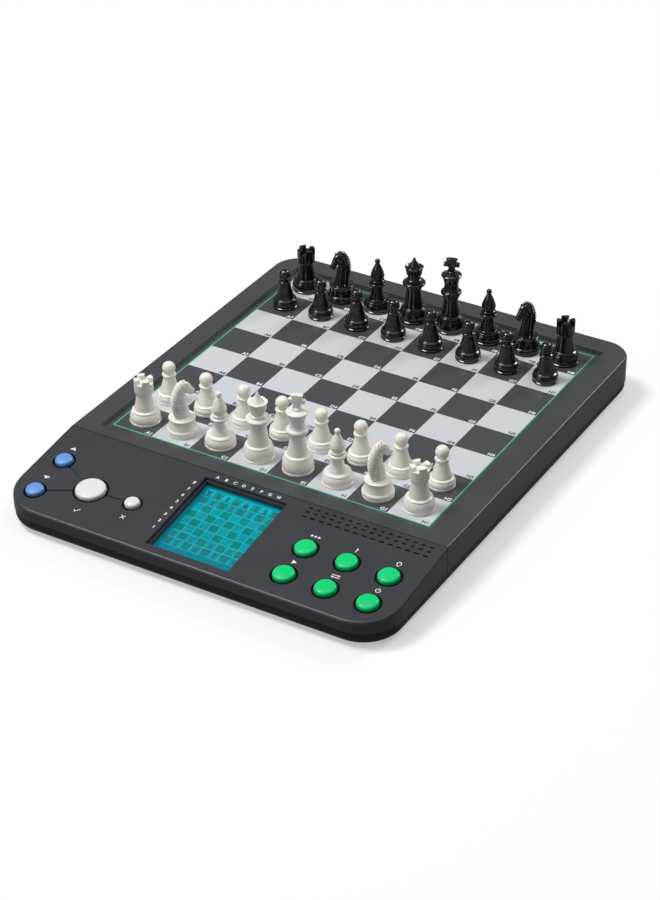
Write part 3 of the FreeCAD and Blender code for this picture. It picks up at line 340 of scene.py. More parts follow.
def grid_of_frames(name, finish, count, pitch, rim, thick):
    """Square outlines repeated over a grid, made by Geometry Nodes and turned into a plain mesh."""
    tree = bpy.data.node_groups.new(name, "GeometryNodeTree")
    face = tree.interface
    sizes = {"Count": count, "Pitch": pitch, "Rim": rim, "Thickness": thick}
    kinds = {"Count": "NodeSocketInt"}
    ids = {}
    for key in sizes:
        made = face.new_socket(key, in_out="INPUT", socket_type=kinds.get(key, "NodeSocketFloat"))
        ids[key] = made.identifier
    face.new_socket("Geometry", in_out="OUTPUT", socket_type="NodeSocketGeometry")
    given = tree.nodes.new("NodeGroupInput")

    def add(kind, settings=None, sockets=None):
        made = tree.nodes.new(kind)
        for key, value in (settings or {}).items():
            setattr(made, key, value)
        for key, value in (sockets or {}).items():
            if isinstance(value, bpy.types.NodeSocket):
                tree.links.new(value, made.inputs[key])
            else:
                made.inputs[key].default_value = value
        return made

    def product(a, b):
        return add("ShaderNodeMath", {"operation": "MULTIPLY"}, {0: a, 1: b}).outputs[0]

    less = add("ShaderNodeMath", {"operation": "SUBTRACT"}, {0: given.outputs["Count"], 1: 1.0})
    span = product(less.outputs[0], given.outputs["Pitch"])
    grid = add(
        "GeometryNodeMeshGrid",
        sockets={
            "Size X": span,
            "Size Y": span,
            "Vertices X": given.outputs["Count"],
            "Vertices Y": given.outputs["Count"],
        },
    )
    side = add(
        "ShaderNodeMath", {"operation": "SUBTRACT"}, {0: given.outputs["Pitch"], 1: given.outputs["Rim"]}
    )
    outline = add(
        "GeometryNodeCurvePrimitiveQuadrilateral",
        sockets={"Width": side.outputs[0], "Height": side.outputs[0]},
    )
    section = add(
        "GeometryNodeCurvePrimitiveQuadrilateral",
        sockets={"Width": given.outputs["Rim"], "Height": given.outputs["Thickness"]},
    )
    cell = add(
        "GeometryNodeCurveToMesh",
        sockets={"Curve": outline.outputs[0], "Profile Curve": section.outputs[0]},
    )
    spread = add(
        "GeometryNodeInstanceOnPoints",
        sockets={"Points": grid.outputs["Mesh"], "Instance": cell.outputs[0]},
    )
    real = add("GeometryNodeRealizeInstances", sockets={0: spread.outputs[0]})
    dressed = add(
        "GeometryNodeSetMaterial", sockets={"Geometry": real.outputs[0], "Material": finish.material}
    )
    out = tree.nodes.new("NodeGroupOutput")
    tree.links.new(dressed.outputs[0], out.inputs[0])
    holder = put(name, bpy.data.meshes.new(name))
    modifier = holder.modifiers.new("cells", "NODES")
    modifier.node_group = tree
    for key, value in sizes.items():
        modifier[ids[key]] = value
    return plain_mesh(holder)


lcd_place = PANEL @ Matrix.Translation((0, 0, -LCD_DEPTH + INK_T / 2))
mini_mid = Matrix.Translation((0, MINI_FAR - MINI_HALF, 0))
rim_ink = ink("crystal_line", (0.03, 0.52, 0.62))
frames = grid_of_frames("display_cells", rim_ink, FILES, MINI_PITCH, RIM_W, INK_T)
gathered("display_cells", [(frames, lcd_place @ mini_mid)], rim_ink, "chassis")


# Men on the display: flat dark signs, one to a cell. Each outline is the right half of a sign in
# cells, which is mirrored, and only the knight's goes all the way round.
SIGNS = {
    "pawn": [
        (0.26, 0.10), (0.26, 0.18), (0.12, 0.30), (0.09, 0.46), (0.17, 0.56), (0.14, 0.70), (0.0, 0.78),
    ],
    "rook": [
        (0.28, 0.10), (0.28, 0.20), (0.18, 0.28), (0.18, 0.58), (0.27, 0.64), (0.27, 0.84), (0.14, 0.84),
    ],
    "bishop": [
        (0.27, 0.10), (0.25, 0.18), (0.11, 0.26), (0.11, 0.40), (0.20, 0.52), (0.17, 0.68), (0.0, 0.88),
    ],
    "queen": [
        (0.27, 0.10), (0.27, 0.20), (0.20, 0.34), (0.34, 0.74), (0.18, 0.54), (0.12, 0.84), (0.0, 0.56),
    ],
    "king": [
        (0.27, 0.10), (0.27, 0.20), (0.22, 0.30), (0.30, 0.56), (0.08, 0.60), (0.08, 0.88), (0.0, 0.88),
    ],
}
KNIGHT_SIGN = [
    (-0.26, 0.10), (0.26, 0.10), (0.26, 0.20), (0.20, 0.44), (0.14, 0.74), (-0.02, 0.86), (-0.28, 0.60),
    (-0.24, 0.50), (-0.04, 0.54), (-0.20, 0.22),
]


def solid(spots, faces):
    mesh = bpy.data.meshes.new("solid")
    mesh.from_pydata(spots, [], faces)
    return mesh


def flat_sign(outline, size, thick=INK_T):
    """A closed thin plate from an outline in units of size."""
    low = [(x * size, y * size, -thick / 2) for x, y in outline]
    high = [(x, y, -z) for x, y, z in low]
    count = len(outline)
    faces = [list(range(count))[::-1], list(range(count, 2 * count))]
    faces += [[i, (i + 1) % count, (i + 1) % count + count, i + count] for i in range(count)]
    return solid(low + high, faces)


def mirrored(half):
    """A whole outline from its right half, counter-clockwise."""
    left = [(-x, y) for x, y in reversed(half) if x > 0]
    return half + left


signs = {kind: flat_sign(mirrored(half), MINI_PITCH) for kind, half in SIGNS.items()}
signs["knight"] = flat_sign(KNIGHT_SIGN, MINI_PITCH)
BACK_RANK = ("rook", "knight", "bishop", "queen", "king", "bishop", "knight", "rook")
shown_men = []
for column, kind in enumerate(BACK_RANK):
    for rank, man in ((0, kind), (1, "pawn"), (6, "pawn"), (7, kind)):
        x = -MINI_HALF + (column + 0.5) * MINI_PITCH
        y = MINI_FAR - 2 * MINI_HALF + rank * MINI_PITCH
        shown_men.append((signs[man], lcd_place @ Matrix.Translation((x, y, 0))))
gathered("display_men", shown_men, ink("crystal_dark", CRYSTAL_DARK), "chassis")
digits = []
for x in (-DIGIT_X, DIGIT_X):
    place = lcd_place @ Matrix.Translation((x, DIGIT_Y, 0))
    digits.append((lettering("0:00", DIGIT_SIZE), place))
gathered("display_digits", digits, ink("crystal_digit", CRYSTAL_DARK), "chassis")


# Panel print: letters and digits along the display, arrows by the two blue keys and a sign by
# each of the others, all in white screen ink.
MM = 0.001
LETTER_SIZE = 0.0030
LETTERS_X = -20.3
LETTERS_Y = -4.6
LETTERS_PITCH = 5.74
DIGITS_X = -30.1
DIGITS_Y = -13.9
DIGITS_PITCH = 5.9
TRIANGLE = [(-0.5, 0.0), (0.5, 0.0), (0.0, 0.55)]
ARROW_SIZE = 0.0042
UP_ARROW_AT = (-109.6, -18.6)
DOWN_ARROW_AT = (-109.4, -44.2)
SIGN_COLUMNS = (55.0, 80.8, 106.6)
FAR_SIGNS_Y = -23.0
NEAR_SIGNS_Y = -45.7
TICK_AT = (-77.3, -61.5)
CROSS_AT = (-50.3, -55.0)
QUESTION_SIZE = 0.0042
QUESTION_DROP = 1.5
STROKE = 0.5
BAND_STEPS = 24
DOT_R = 0.75
DOT_STEPS = 16


def on_panel(x, y):
    """A place on the sloping panel, in millimetres from the middle of its far edge."""
    return PANEL @ Matrix.Translation((x * MM, y * MM, INK_T / 2))


def band(radius, first, last, middle=(0.0, 0.0)):
    """Outline of an open ring from one angle to another, in degrees."""
    steps = [first + (last - first) * i / BAND_STEPS for i in range(BAND_STEPS + 1)]
    outline = []
    for r, angles in ((radius, steps), (radius - STROKE, steps[::-1])):
        for angle in angles:
            x = middle[0] + r * math.cos(math.radians(angle))
            outline.append((x, middle[1] + r * math.sin(math.radians(angle))))
    return outline


def bar(x0, y0, x1, y1):
    """Outline of a straight stroke."""
    along = Vector((x1 - x0, y1 - y0)).normalized() * STROKE / 2
    side = Vector((-along.y, along.x))
    a = Vector((x0, y0)) - along
    b = Vector((x1, y1)) + along
    return [tuple(a - side), tuple(b - side), tuple(b + side), tuple(a + side)]


def dot(x, y):
    turns = [2 * math.pi * i / DOT_STEPS for i in range(DOT_STEPS)]
    return [(x + DOT_R * math.cos(t), y + DOT_R * math.sin(t)) for t in turns]


marks = []
for i, letter in enumerate(FILE_LETTERS):
    marks.append((lettering(letter, LETTER_SIZE), on_panel(LETTERS_X + LETTERS_PITCH * i, LETTERS_Y)))
    digit = lettering(str(FILES - i), LETTER_SIZE)
    marks.append((digit, on_panel(DIGITS_X, DIGITS_Y - DIGITS_PITCH * i)))
up_arrow = flat_sign(TRIANGLE, ARROW_SIZE)
down_arrow = flat_sign([(x, -y) for x, y in reversed(TRIANGLE)], ARROW_SIZE)
marks.append((up_arrow, on_panel(*UP_ARROW_AT)))
marks.append((down_arrow, on_panel(*DOWN_ARROW_AT)))
three_dots = [dot(-2.2, 0), dot(0, 0), dot(2.2, 0)]
bulb = [band(1.5, -60, 240, (0, 0.5)), bar(-0.6, -1.4, 0.6, -1.4)]
start = [[(-1.2, -1.5), (1.6, 0.0), (-1.2, 1.5)]]
exchange = [
    bar(-2.4, 0.7, 1.2, 0.7),
    [(1.2, -0.1), (2.7, 0.7), (1.2, 1.5)],
    bar(-1.2, -0.9, 2.4, -0.9),
    [(-1.2, -1.7), (-1.2, -0.1), (-2.7, -0.9)],
]
power = [band(1.6, 125, 415), bar(0, 0.5, 0, 1.8)]
tick = [bar(-1.4, 0.1, -0.4, -1.0), bar(-0.4, -1.0, 1.8, 1.5)]
cross = [bar(-1.1, -1.1, 1.1, 1.1), bar(-1.1, 1.1, 1.1, -1.1)]
key_signs = [
    (three_dots, SIGN_COLUMNS[0], FAR_SIGNS_Y),
    (bulb, SIGN_COLUMNS[2], FAR_SIGNS_Y),
    (start, SIGN_COLUMNS[0], NEAR_SIGNS_Y),
    (exchange, SIGN_COLUMNS[1], NEAR_SIGNS_Y),
    (power, SIGN_COLUMNS[2], NEAR_SIGNS_Y),
    (tick, *TICK_AT),
    (cross, *CROSS_AT),
]
for outlines, x, y in key_signs:
    marks += [(flat_sign(outline, MM), on_panel(x, y)) for outline in outlines]
question = lettering("?", QUESTION_SIZE)
marks.append((question, on_panel(SIGN_COLUMNS[1], FAR_SIGNS_Y - QUESTION_DROP)))
print_ink = ink("white_ink", (0.80, 0.81, 0.82))
gathered("panel_print", marks, print_ink, "chassis")


# Keys: glossy moulded caps in three colours, each on its own dome of the rubber mats. A thin black ring of
# painted shade lies round each hole that a key stands in, for the shadow in the gap and chamfer of the
# hole.
blue_cap = moulded("blue_cap", (0.125, 0.290, 0.700), 0.34, cloud=0.05, Coat_Weight=0.25)
white_cap = moulded("white_cap", (0.70, 0.72, 0.73), 0.36, cloud=0.04, Coat_Weight=0.25)
green_cap = moulded("green_cap", (0.0, 0.61, 0.18), 0.32, cloud=0.05, Coat_Weight=0.12, **SATIN)
clad(blue_cap, "key_up", "key_down")
clad(white_cap, "key_enter", "key_escape")
clad(green_cap, "key_moves", "key_reason", "key_hint", "key_start", "key_swap", "key_power")
KEY_RADII = {"key_up": 5.2, "key_down": 5.2, "key_enter": 8.85, "key_escape": 4.4}
FUNCTION_RADIUS = 6.15
SHADE_RING_IN = 0.65
SHADE_RING_W = 0.9
RING_STEPS = 64


def washer(inner, outer, thick):
    """A flat closed ring round the upright axis."""
    corners = [(inner, -thick / 2), (outer, -thick / 2), (outer, thick / 2), (inner, thick / 2)]
    spots = []
    faces = []
    for i in range(RING_STEPS):
        turn = 2 * math.pi * i / RING_STEPS
        spots += [(r * math.cos(turn), r * math.sin(turn), z) for r, z in corners]
        here, there = 4 * i, 4 * ((i + 1) % RING_STEPS)
        for a in range(4):
            b = (a + 1) % 4
            faces.append((here + a, there + a, there + b, here + b))
    return solid(spots, faces)


rings = []
for name in node:
    if name.startswith("key_") and not name.startswith("key_mat"):
        corners = [node[name].matrix_world @ Vector(corner) for corner in node[name].bound_box]
        spot = PANEL.inverted() @ (sum(corners, Vector()) / len(corners))
        inner = KEY_RADII.get(name, FUNCTION_RADIUS) + SHADE_RING_IN
        ring = washer(inner * MM, (inner + SHADE_RING_W) * MM, INK_T)
        rings.append((ring, PANEL @ Matrix.Translation((spot.x, spot.y, INK_T / 2))))
# Painted shade: a matt black ring stands where the real panel has only the shadow in the gap round each
# key.
gap_black = ink("gap_black", (0.002, 0.002, 0.0025))
gap_black.feed(Roughness=0.9, Specular_IOR_Level=0.0)
gathered("key_rings", rings, gap_black, "chassis")


# Works under the panel: a green circuit board screwed to the panel's posts, two rubber key mats
# that lie on it, and the speaker behind the sound slots.
TRACKS_PER_METRE = 400.0
TRACK_SHARE = 0.3
TRACK_PATCH = 0.02
laminate = Finish("green_laminate", Roughness=0.35)
across, _, _ = laminate.axes()
patches = laminate.noise(TRACK_PATCH) > 0.5
tracks = ((across * TRACKS_PER_METRE % 1.0) < TRACK_SHARE) * patches
laminate.feed(Base_Color=laminate.blend(tracks, (0.02, 0.16, 0.07), (0.04, 0.26, 0.12)))
clad(laminate, "main_board")
clad(moulded("mat_rubber", (0.42, 0.43, 0.44), 0.7), "key_mat_left", "key_mat_right")
clad(moulded("speaker_black", (0.03, 0.03, 0.032), 0.6), "speaker")


# Battery bay: three cells in printed metal sleeves with a copper-coloured end, held between sprung
# leaves of plated steel.
SLEEVE_HALF = 0.021
SCUFF_SIZE = 0.004
sleeve = Finish("cell_sleeve", Metallic=0.6)
across, _, _ = sleeve.axes()
scuffs = sleeve.noise(SCUFF_SIZE)
ends = abs(across) > SLEEVE_HALF
sleeve.feed(Base_Color=sleeve.blend(ends, (0.05, 0.07, 0.16), (0.55, 0.40, 0.18)))
sleeve.feed(Roughness=0.28 + 0.08 * scuffs)
clad(sleeve, "batteries")


def plated(name, colour, roughness):
    """Plated steel with fine draw marks."""
    finish = Finish(name, Metallic=1.0)
    marks = finish.noise(0.0003)
    finish.feed(Base_Color=finish.blend(marks, tuple(0.85 * c for c in colour), colour))
    finish.feed(Roughness=roughness + 0.12 * marks)
    return finish


clad(plated("contact_plating", (0.66, 0.64, 0.58), 0.28), "battery_contacts")


# Fasteners and feet: plated pan-head screws, sunk in the lower case and through the circuit board,
# and rubber discs glued in shallow pockets under the corners.
clad(plated("screw_plating", (0.36, 0.36, 0.38), 0.34), "case_screws", "circuit_screws")
clad(moulded("foot_rubber", (0.022, 0.022, 0.023), 0.75, grain=0.0008), "feet")


# Chess men: injection-moulded as solid turnings, one side in satin ivory plastic and the other in
# polished black. The knights' heads are sculpted, with a mane like a twisted rope. Outlines are in
# millimetres above the square.
LATHE_STEPS = 64
ARC_STEP = 0.1
ARC_LEAST = 4
QUARTER = 0.41
TINY = 1e-4
SHARP_EDGE = math.radians(32)
MAN_GRAIN = 0.0012
ivory = moulded("ivory_plastic", (0.86, 0.835, 0.775), 0.3, MAN_GRAIN, depth=0.000008, cloud=0.04)
ivory.feed(Coat_Weight=0.15, Coat_Roughness=0.15, Subsurface_Weight=0.15, Subsurface_Scale=0.0008)
jet = moulded("jet_plastic", (0.004, 0.004, 0.005), 0.17, MAN_GRAIN, depth=0.000006, cloud=0.1)
jet.feed(Coat_Weight=0.8, Coat_Roughness=0.05, **SATIN)


def drawn(outline):
    """Points of an outline. A step is (radius, height) or, for an arc, (radius, height, bow)."""
    spots = [Vector(outline[0])]
    for r, z, *bow in outline[1:]:
        a, b = spots[-1], Vector((r, z))
        run = b - a
        if bow:
            swing = 2 * math.atan(bow[0])
            side = Vector((run.y, -run.x)).normalized()
            radius = run.length / (2 * math.sin(swing))
            middle = (a + b) / 2 + side * (bow[0] * run.length / 2 - radius)
            count = max(ARC_LEAST, int(abs(swing) / ARC_STEP))
            for i in range(1, count):
                turn = swing * (2 * i / count - 1)
                spoke = side * math.cos(turn) + run.normalized() * math.sin(turn)
                spots.append(middle + radius * spoke)
        spots.append(b)
    return spots


def domed(r, z, top):
    """The last step of an outline: part of a ball that closes on the axis."""
    rise = top - z
    radius = (r * r + rise * rise) / (2 * rise)
    return (0, top, math.tan(math.atan2(r, radius - rise) / 4))


def turning(outline):
    """A turned solid about the upright axis, closed at both ends."""
    spots = []
    rings = []
    for r, z in drawn(outline):
        count = LATHE_STEPS if r > TINY else 1
        rings.append(range(len(spots), len(spots) + count))
        for i in range(count):
            turn = 2 * math.pi * i / count
            spots.append((r * math.cos(turn), r * math.sin(turn), z))
    faces = []
    for low, high in zip(rings, rings[1:]):
        for i in range(LATHE_STEPS):
            j = (i + 1) % LATHE_STEPS
            if len(low) == 1:
                faces.append((low[0], high[j], high[i]))
            elif len(high) == 1:
                faces.append((low[i], low[j], high[0]))
            else:
                faces.append((low[i], low[j], high[j], high[i]))
    return solid(spots, faces)


def foot(wide, ring, ring_z, stem):
    """Rim, cushion and thin ring that every man but the knight stands on, up to the stem."""
    return [
        (0, 0),
        (wide - 0.5, 0),
        (wide - 0.15, 0.35, QUARTER),
        (wide - 0.15, 1.2),
        (wide - 0.55, 1.5),
        (wide - 0.35, 1.8),
        (ring + 0.4, ring_z - 1.0, 1.5 / ring_z),
        (ring, ring_z - 0.9),
        (ring, ring_z, 0.7),
        (stem + 0.4, ring_z + 0.3),
        (stem, ring_z + 0.9, -0.3),
    ]


def pawn():
    return [turning(foot(8.05, 6.9, 5.9, 5.9) + [
        (3.4, 16.6, -0.05), (3.75, 16.9), (3.75, 18.3, 0.75), (3.1, 18.6), (3.1, 19.5),
        domed(3.1, 19.5, 25.9),
    ])]


WALL_TOP = 25.9
MERLON_H = 2.5
MERLON_HALF = math.radians(26)
MERLON_FIRST = math.radians(31)
MERLON_PITCH = math.pi / 2
ROOK_TURNS = {"white_rook_a": 20, "white_rook_h": 20, "black_rook_a": 25}


def rook():
    """A drum with a solid crown, from which four merlons are drawn up."""
    body = turning(foot(9.35, 7.3, 7.9, 6.1) + [
        (4.65, 18.6, -0.04), (5.0, 18.8), (5.6, 20.4, 0.2), (5.65, WALL_TOP), (2.9, WALL_TOP),
        (0, WALL_TOP),
    ])
    shape = bmesh.new()
    shape.from_mesh(body)
    raised = []
    for face in shape.faces:
        middle = face.calc_center_median()
        turn = math.atan2(middle.y, middle.x) - MERLON_FIRST
        turn = (turn + MERLON_PITCH / 2) % MERLON_PITCH - MERLON_PITCH / 2
        level = all(abs(v.co.z - WALL_TOP) < TINY for v in face.verts)
        if level and len(face.verts) == 4 and abs(turn) < MERLON_HALF:
            raised.append(face)
    made = bmesh.ops.extrude_face_region(shape, geom=raised)["geom"]
    lifted = [part for part in made if isinstance(part, bmesh.types.BMVert)]
    bmesh.ops.translate(shape, verts=lifted, vec=(0, 0, MERLON_H))
    shape.to_mesh(body)
    shape.free()
    return [body]


def bishop():
    return [turning(foot(9.3, 7.6, 7.3, 5.3) + [
        (3.05, 16.7, -0.1), (3.6, 16.9), (5.0, 17.2), (5.0, 18.8, 0.6), (4.0, 19.0), (4.2, 19.5),
        (4.2, 20.7, 0.5), (3.3, 21.0), (3.2, 21.4), (4.35, 24.2, 0.3), (1.45, 31.5, 0.07),
        (1.25, 31.9), (1.25, 32.13), domed(1.25, 32.13, 35.1),
    ])]


POINTS = 8
POINT_H = 0.22
CROWN_R = 5.4
CROWN_LOW = 36.4
CROWN_HIGH = 36.9


def queen():
    """A tall turning whose crown rises and falls in shallow points along its edge."""
    body = turning(foot(9.3, 7.5, 8.9, 6.3) + [
        (4.6, 22.4, -0.03), (5.2, 22.7), (5.2, 23.9, 0.5), (5.6, 24.2), (6.6, 24.5), (6.6, 26.4, 0.7),
        (5.0, 26.7), (4.6, 27.2), (4.6, 28.4, 0.5), (4.0, 28.7), (3.9, 29.2), (4.1, 31.2), (4.7, 31.6),
        (4.7, 32.3, 0.5), (5.0, 32.6), (5.9, 36.5, -0.06), (5.5, 36.8), (4.3, 36.2),
        (0.95, 41.5, -0.06), (0.8, 41.8), domed(0.8, 41.8, 43.0),
    ])
    for vertex in body.vertices:
        if CROWN_LOW < vertex.co.z < CROWN_HIGH and vertex.co.xy.length > CROWN_R:
            turn = math.atan2(vertex.co.y, vertex.co.x)
            vertex.co.z += POINT_H * math.cos(POINTS * turn)
    return [body]


CROSS_HALF_T = 1.5
CROSS_EDGE = 0.45
CROSS_EDGE_STEPS = 3
CROSS_TURN = math.radians(18)
CROSS = [
    (2.4, 40.6), (1.8, 43.3), (2.4, 43.9), (4.9, 43.9), (4.9, 46.3), (2.6, 46.5), (3.7, 49.0), (0.0, 49.4),
]


def king():
    """A turning with a flared cross on top, rounded along its edges."""
    body = turning(foot(9.35, 7.3, 10.3, 6.0) + [
        (4.3, 22.4, -0.03), (4.9, 22.8), (4.9, 24.2, 0.5), (5.0, 24.5), (5.8, 25.0), (5.8, 27.3, 0.6),
        (4.8, 27.6), (4.5, 28.1), (4.4, 29.2), (5.9, 37.2, -0.14), (6.2, 37.5), (6.2, 38.3, 0.5),
        (5.8, 38.6), (2.9, 39.4), (2.8, 39.6), (2.2, 40.8, 0.4), (0, 40.9),
    ])
    cross = flat_sign(mirrored(CROSS), 1.0, 2 * CROSS_HALF_T)
    shape = bmesh.new()
    shape.from_mesh(cross)
    bmesh.ops.bevel(
        shape,
        geom=list(shape.edges),
        offset=CROSS_EDGE,
        segments=CROSS_EDGE_STEPS,
        profile=0.5,
        affect="EDGES",
    )
    shape.to_mesh(cross)
    shape.free()
    cross.transform(Matrix.Rotation(CROSS_TURN, 4, "Z") @ Matrix.Rotation(math.pi / 2, 4, "X"))
    return [body, cross]


def smoothed(stations, parts):
    """Evenly finer stations along a smooth course through the given ones."""
    ends = [stations[0], *stations, stations[-1]]
    finer = []
    for k in range(len(stations) - 1):
        a, b, c, d = (Vector(ends[k + i]) for i in range(4))
        for i in range(parts):
            t = i / parts
            square_part = (2 * a - 5 * b + 4 * c - d) * t**2
            cube_part = (3 * b - a - 3 * c + d) * t**3
            finer.append((2 * b + (c - a) * t + square_part + cube_part) / 2)
    finer.append(Vector(stations[-1]))
    return finer


def skinned(rings):
    """A closed skin over rings of points, with a fan at each end."""
    count = len(rings[0])
    spots = [spot for ring in rings for spot in ring]
    faces = [list(range(count))[::-1], list(range(len(spots) - count, len(spots)))]
    for k in range(len(rings) - 1):
        for i in range(count):
            j = (i + 1) % count
            faces.append((k * count + i, k * count + j, (k + 1) * count + j, (k + 1) * count + i))
    return solid(spots, faces)


# Forward, up, lean in degrees, half depth and half width of the horse from chest to muzzle
HORSE = [
    (1.6, 10.6, 0, 3.9, 3.6),
    (0.9, 15.0, -5, 3.5, 3.2),
    (0.0, 20.0, -6, 3.1, 2.8),
    (-0.6, 24.5, 5, 2.9, 2.6),
    (0.3, 28.0, 40, 2.9, 2.6),
    (2.4, 29.7, 85, 3.0, 2.6),
    (4.4, 28.5, 120, 2.8, 2.3),
    (5.9, 26.7, 138, 2.3, 2.0),
    (7.0, 25.3, 142, 2.2, 1.9),
    (7.8, 24.3, 142, 2.1, 1.8),
    (8.2, 23.7, 142, 1.3, 1.2),
]
# Forward, up and radius of the mane
MANE = [
    (-2.6, 10.8, 2.2),
    (-3.5, 16.0, 2.8),
    (-3.9, 21.0, 3.1),
    (-3.2, 25.8, 3.0),
    (-1.2, 29.6, 2.8),
    (1.2, 31.6, 2.4),
    (3.0, 31.9, 1.4),
]
HORSE_PARTS = 6
HORSE_ROUND = 32
MANE_PARTS = 24
MANE_ROUND = 72
STRANDS = 6
STRAND_PITCH = 1.8
STRAND_DEPTH = 1.1
STRAND_FULLNESS = 1.4
EAR_LEAN = math.radians(-12)
KNIGHT_TURN = -18


def horse():
    """Neck and head: oval rings that lean over along the horse's bend."""
    rings = []
    for forward, up, lean, deep, wide in smoothed(HORSE, HORSE_PARTS):
        lean = math.radians(lean)
        ring = []
        for i in range(HORSE_ROUND):
            turn = 2 * math.pi * i / HORSE_ROUND
            out = deep * math.sin(turn)
            x = wide * math.cos(turn)
            ring.append((x, forward + out * math.cos(lean), up - out * math.sin(lean)))
        rings.append(ring)
    return skinned(rings)


def mane():
    """A rope along the crest, with strands that wind round it."""
    course = smoothed(MANE, MANE_PARTS)
    rings = []
    run = 0.0
    for k, (forward, up, radius) in enumerate(course):
        before = course[max(k - 1, 0)]
        after = course[min(k + 1, len(course) - 1)]
        way = Vector((after.x - before.x, after.y - before.y)).normalized()
        if k:
            run += Vector((forward - before.x, up - before.y)).length
        ring = []
        for i in range(MANE_ROUND):
            turn = 2 * math.pi * i / MANE_ROUND
            wave = abs(math.sin(math.pi * (STRANDS * i / MANE_ROUND + run / STRAND_PITCH)))
            r = radius - STRAND_DEPTH * (1 - min(1, STRAND_FULLNESS * wave))
            out = r * math.sin(turn)
            ring.append((r * math.cos(turn), forward + out * way.y, up - out * way.x))
        rings.append(ring)
    return skinned(rings)


def ball(radius, x, forward, up):
    made = turning([(0, -radius), (radius, 0, QUARTER), (0, radius, QUARTER)])
    made.transform(Matrix.Translation((x, forward, up)))
    return made


def knight():
    drum = turning([
        (0, 0), (8.85, 0), (9.2, 0.35, QUARTER), (9.2, 1.3), (8.9, 1.6), (8.8, 4.0, 0.4), (8.4, 4.3),
        (7.6, 9.6, -0.1), (7.7, 9.8), (7.7, 10.7, 0.5), (7.2, 10.9), (0, 11.0),
    ])
    shapes = [drum, horse(), mane()]
    for side in (-1, 1):
        ear = turning([(0, 0), (0.95, 0.0), (0.85, 0.8, 0.1), (0, 2.0)])
        ear_place = Matrix.Translation((1.4 * side, 3.3, 31.3))
        ear.transform(ear_place @ Matrix.Rotation(EAR_LEAN, 4, "X"))
        eye = ball(0.5, 2.1 * side, 4.7, 28.9)
        cheek = ball(1.7, 1.1 * side, 3.3, 27.3)
        shapes += [ear, eye, cheek]
    return shapes


TURNS = {**ROOK_TURNS, "knight": KNIGHT_TURN}
shapes = {
    "pawn": pawn(),
    "rook": rook(),
    "knight": knight(),
    "bishop": bishop(),
    "queen": queen(),
    "king": king(),
}
sides = (("white", 0, 1, 0.0, ivory, "white_men"), ("black", 7, 6, 180.0, jet, "black_men"))
for side, home, front, facing, finish, slot in sides:
    for column, kind in enumerate(BACK_RANK):
        for rank, man in ((home, kind), (front, "pawn")):
            name = f"{side}_{man}"
            if man not in ("king", "queen"):
                name += "_" + FILE_LETTERS[column].lower()
            turn = facing + TURNS.get(name, TURNS.get(man, 0))
            x = -BOARD_HALF + (column + 0.5) * SQUARE
            y = BOARD_MID_Y - BOARD_HALF + (rank + 0.5) * SQUARE
            place = Matrix.Translation((x, y, PLAY_Z)) @ Matrix.Rotation(math.radians(turn), 4, "Z")
            place = place @ Matrix.Scale(MM, 4)
            parts = [(mesh, place) for mesh in shapes[man]]
            piece = gathered(name + "_man", parts, finish, name)
            piece.data.shade_smooth()
            piece.data.set_sharp_from_angle(angle=SHARP_EDGE)
            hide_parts(name)
            clad(finish, name)


# Studio: white paper that glows a little for the camera and in reflections, so that it ends in
# white. A high box at the left front gives the shadow, a wide one overhead softens it, one at the
# rear right draws the far edges, and a low one fills the front.
FLOOR_HALF = 8.0
GLOW_SHARE = 0.43
GLOSS_SHARE = 0.4
BOUNCE = (0.16, 0.16, 0.16)
PAPER_CLOUD = 0.4
WORLD_LIGHT = 0.22
paper = Finish("floor_paper", Roughness=0.9, Specular_IOR_Level=0.1)
to_camera, in_gloss, through_glass = [
    paper.add("ShaderNodeLightPath", out=f"Is {kind} Ray") for kind in ("Camera", "Glossy", "Transmission")
]
pale = paper.blend(paper.noise(PAPER_CLOUD), (0.93, 0.935, 0.94), (0.95, 0.955, 0.96))
paper.feed(Base_Color=paper.blend(to_camera, BOUNCE, pale))
glow = paper.add("ShaderNodeEmission", sockets={"Color": (0.94, 0.975, 1.0, 1), "Strength": 1.0})
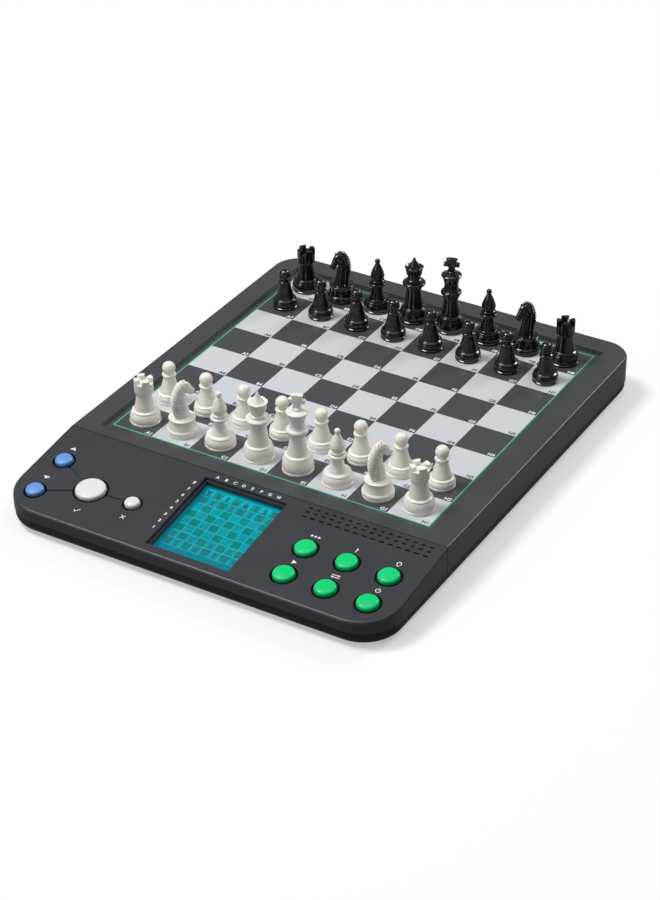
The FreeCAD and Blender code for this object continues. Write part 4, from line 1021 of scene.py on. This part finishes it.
share = GLOW_SHARE * to_camera.either(GLOSS_SHARE * in_gloss).either(through_glass)
sheet = Val(paper, paper.shader.outputs[0])
mixed = paper.add("ShaderNodeMixShader", sockets={0: share, 1: sheet, 2: glow})
paper.tree.links.new(mixed.socket, paper.tree.nodes["Material Output"].inputs["Surface"])
corners = [(-1, -1), (1, -1), (1, 1), (-1, 1)]
floor_mesh = bpy.data.meshes.new("floor")
floor_mesh.from_pydata([(FLOOR_HALF * x, FLOOR_HALF * y, 0) for x, y in corners], [], [[0, 1, 2, 3]])
floor_mesh.materials.append(paper.material)
floor = put("floor", floor_mesh)


def soft_box(name, place, size, power):
    """A square light that faces the middle of the table."""
    lamp = bpy.data.lights.new(name, "AREA")
    lamp.shape = "SQUARE"
    lamp.size = size
    lamp.energy = power
    holder = put(name, lamp)
    holder.location = place
    holder.rotation_euler = (-Vector(place)).to_track_quat("-Z", "Y").to_euler()


soft_box("key_box", place=(-0.95, -0.4, 2.0), size=0.7, power=34)
soft_box("top_box", place=(0.2, -0.1, 2.0), size=1.6, power=7)
soft_box("rim_box", place=(0.6, 1.6, 1.25), size=0.6, power=14)
soft_box("front_box", place=(-1.0, -1.6, 0.9), size=0.9, power=6)

world = bpy.data.worlds.new("studio")
bpy.context.scene.world = world
world.use_nodes = True
background = world.node_tree.nodes["Background"]
background.inputs["Color"].default_value = (1, 1, 1, 1)
background.inputs["Strength"].default_value = WORLD_LIGHT
bpy.context.scene.view_settings.view_transform = "Standard"


# Camera: about a metre and a half away, in front of the player's right hand and looking down on
# the table at a slant. A long lens keeps the sides of the case nearly parallel.
LENS = 94.82
SENSOR_W = 36
CAMERA_PLACE = (0.60294, -1.00655, 0.75997)
CAMERA_TURN = (57.092, 0.488, 30.606)
camera_data = bpy.data.cameras.new("camera")
camera_data.lens = LENS
camera_data.sensor_width = SENSOR_W
camera = put("camera", camera_data)
camera.location = CAMERA_PLACE
camera.rotation_euler = [math.radians(angle) for angle in CAMERA_TURN]
bpy.context.scene.camera = camera
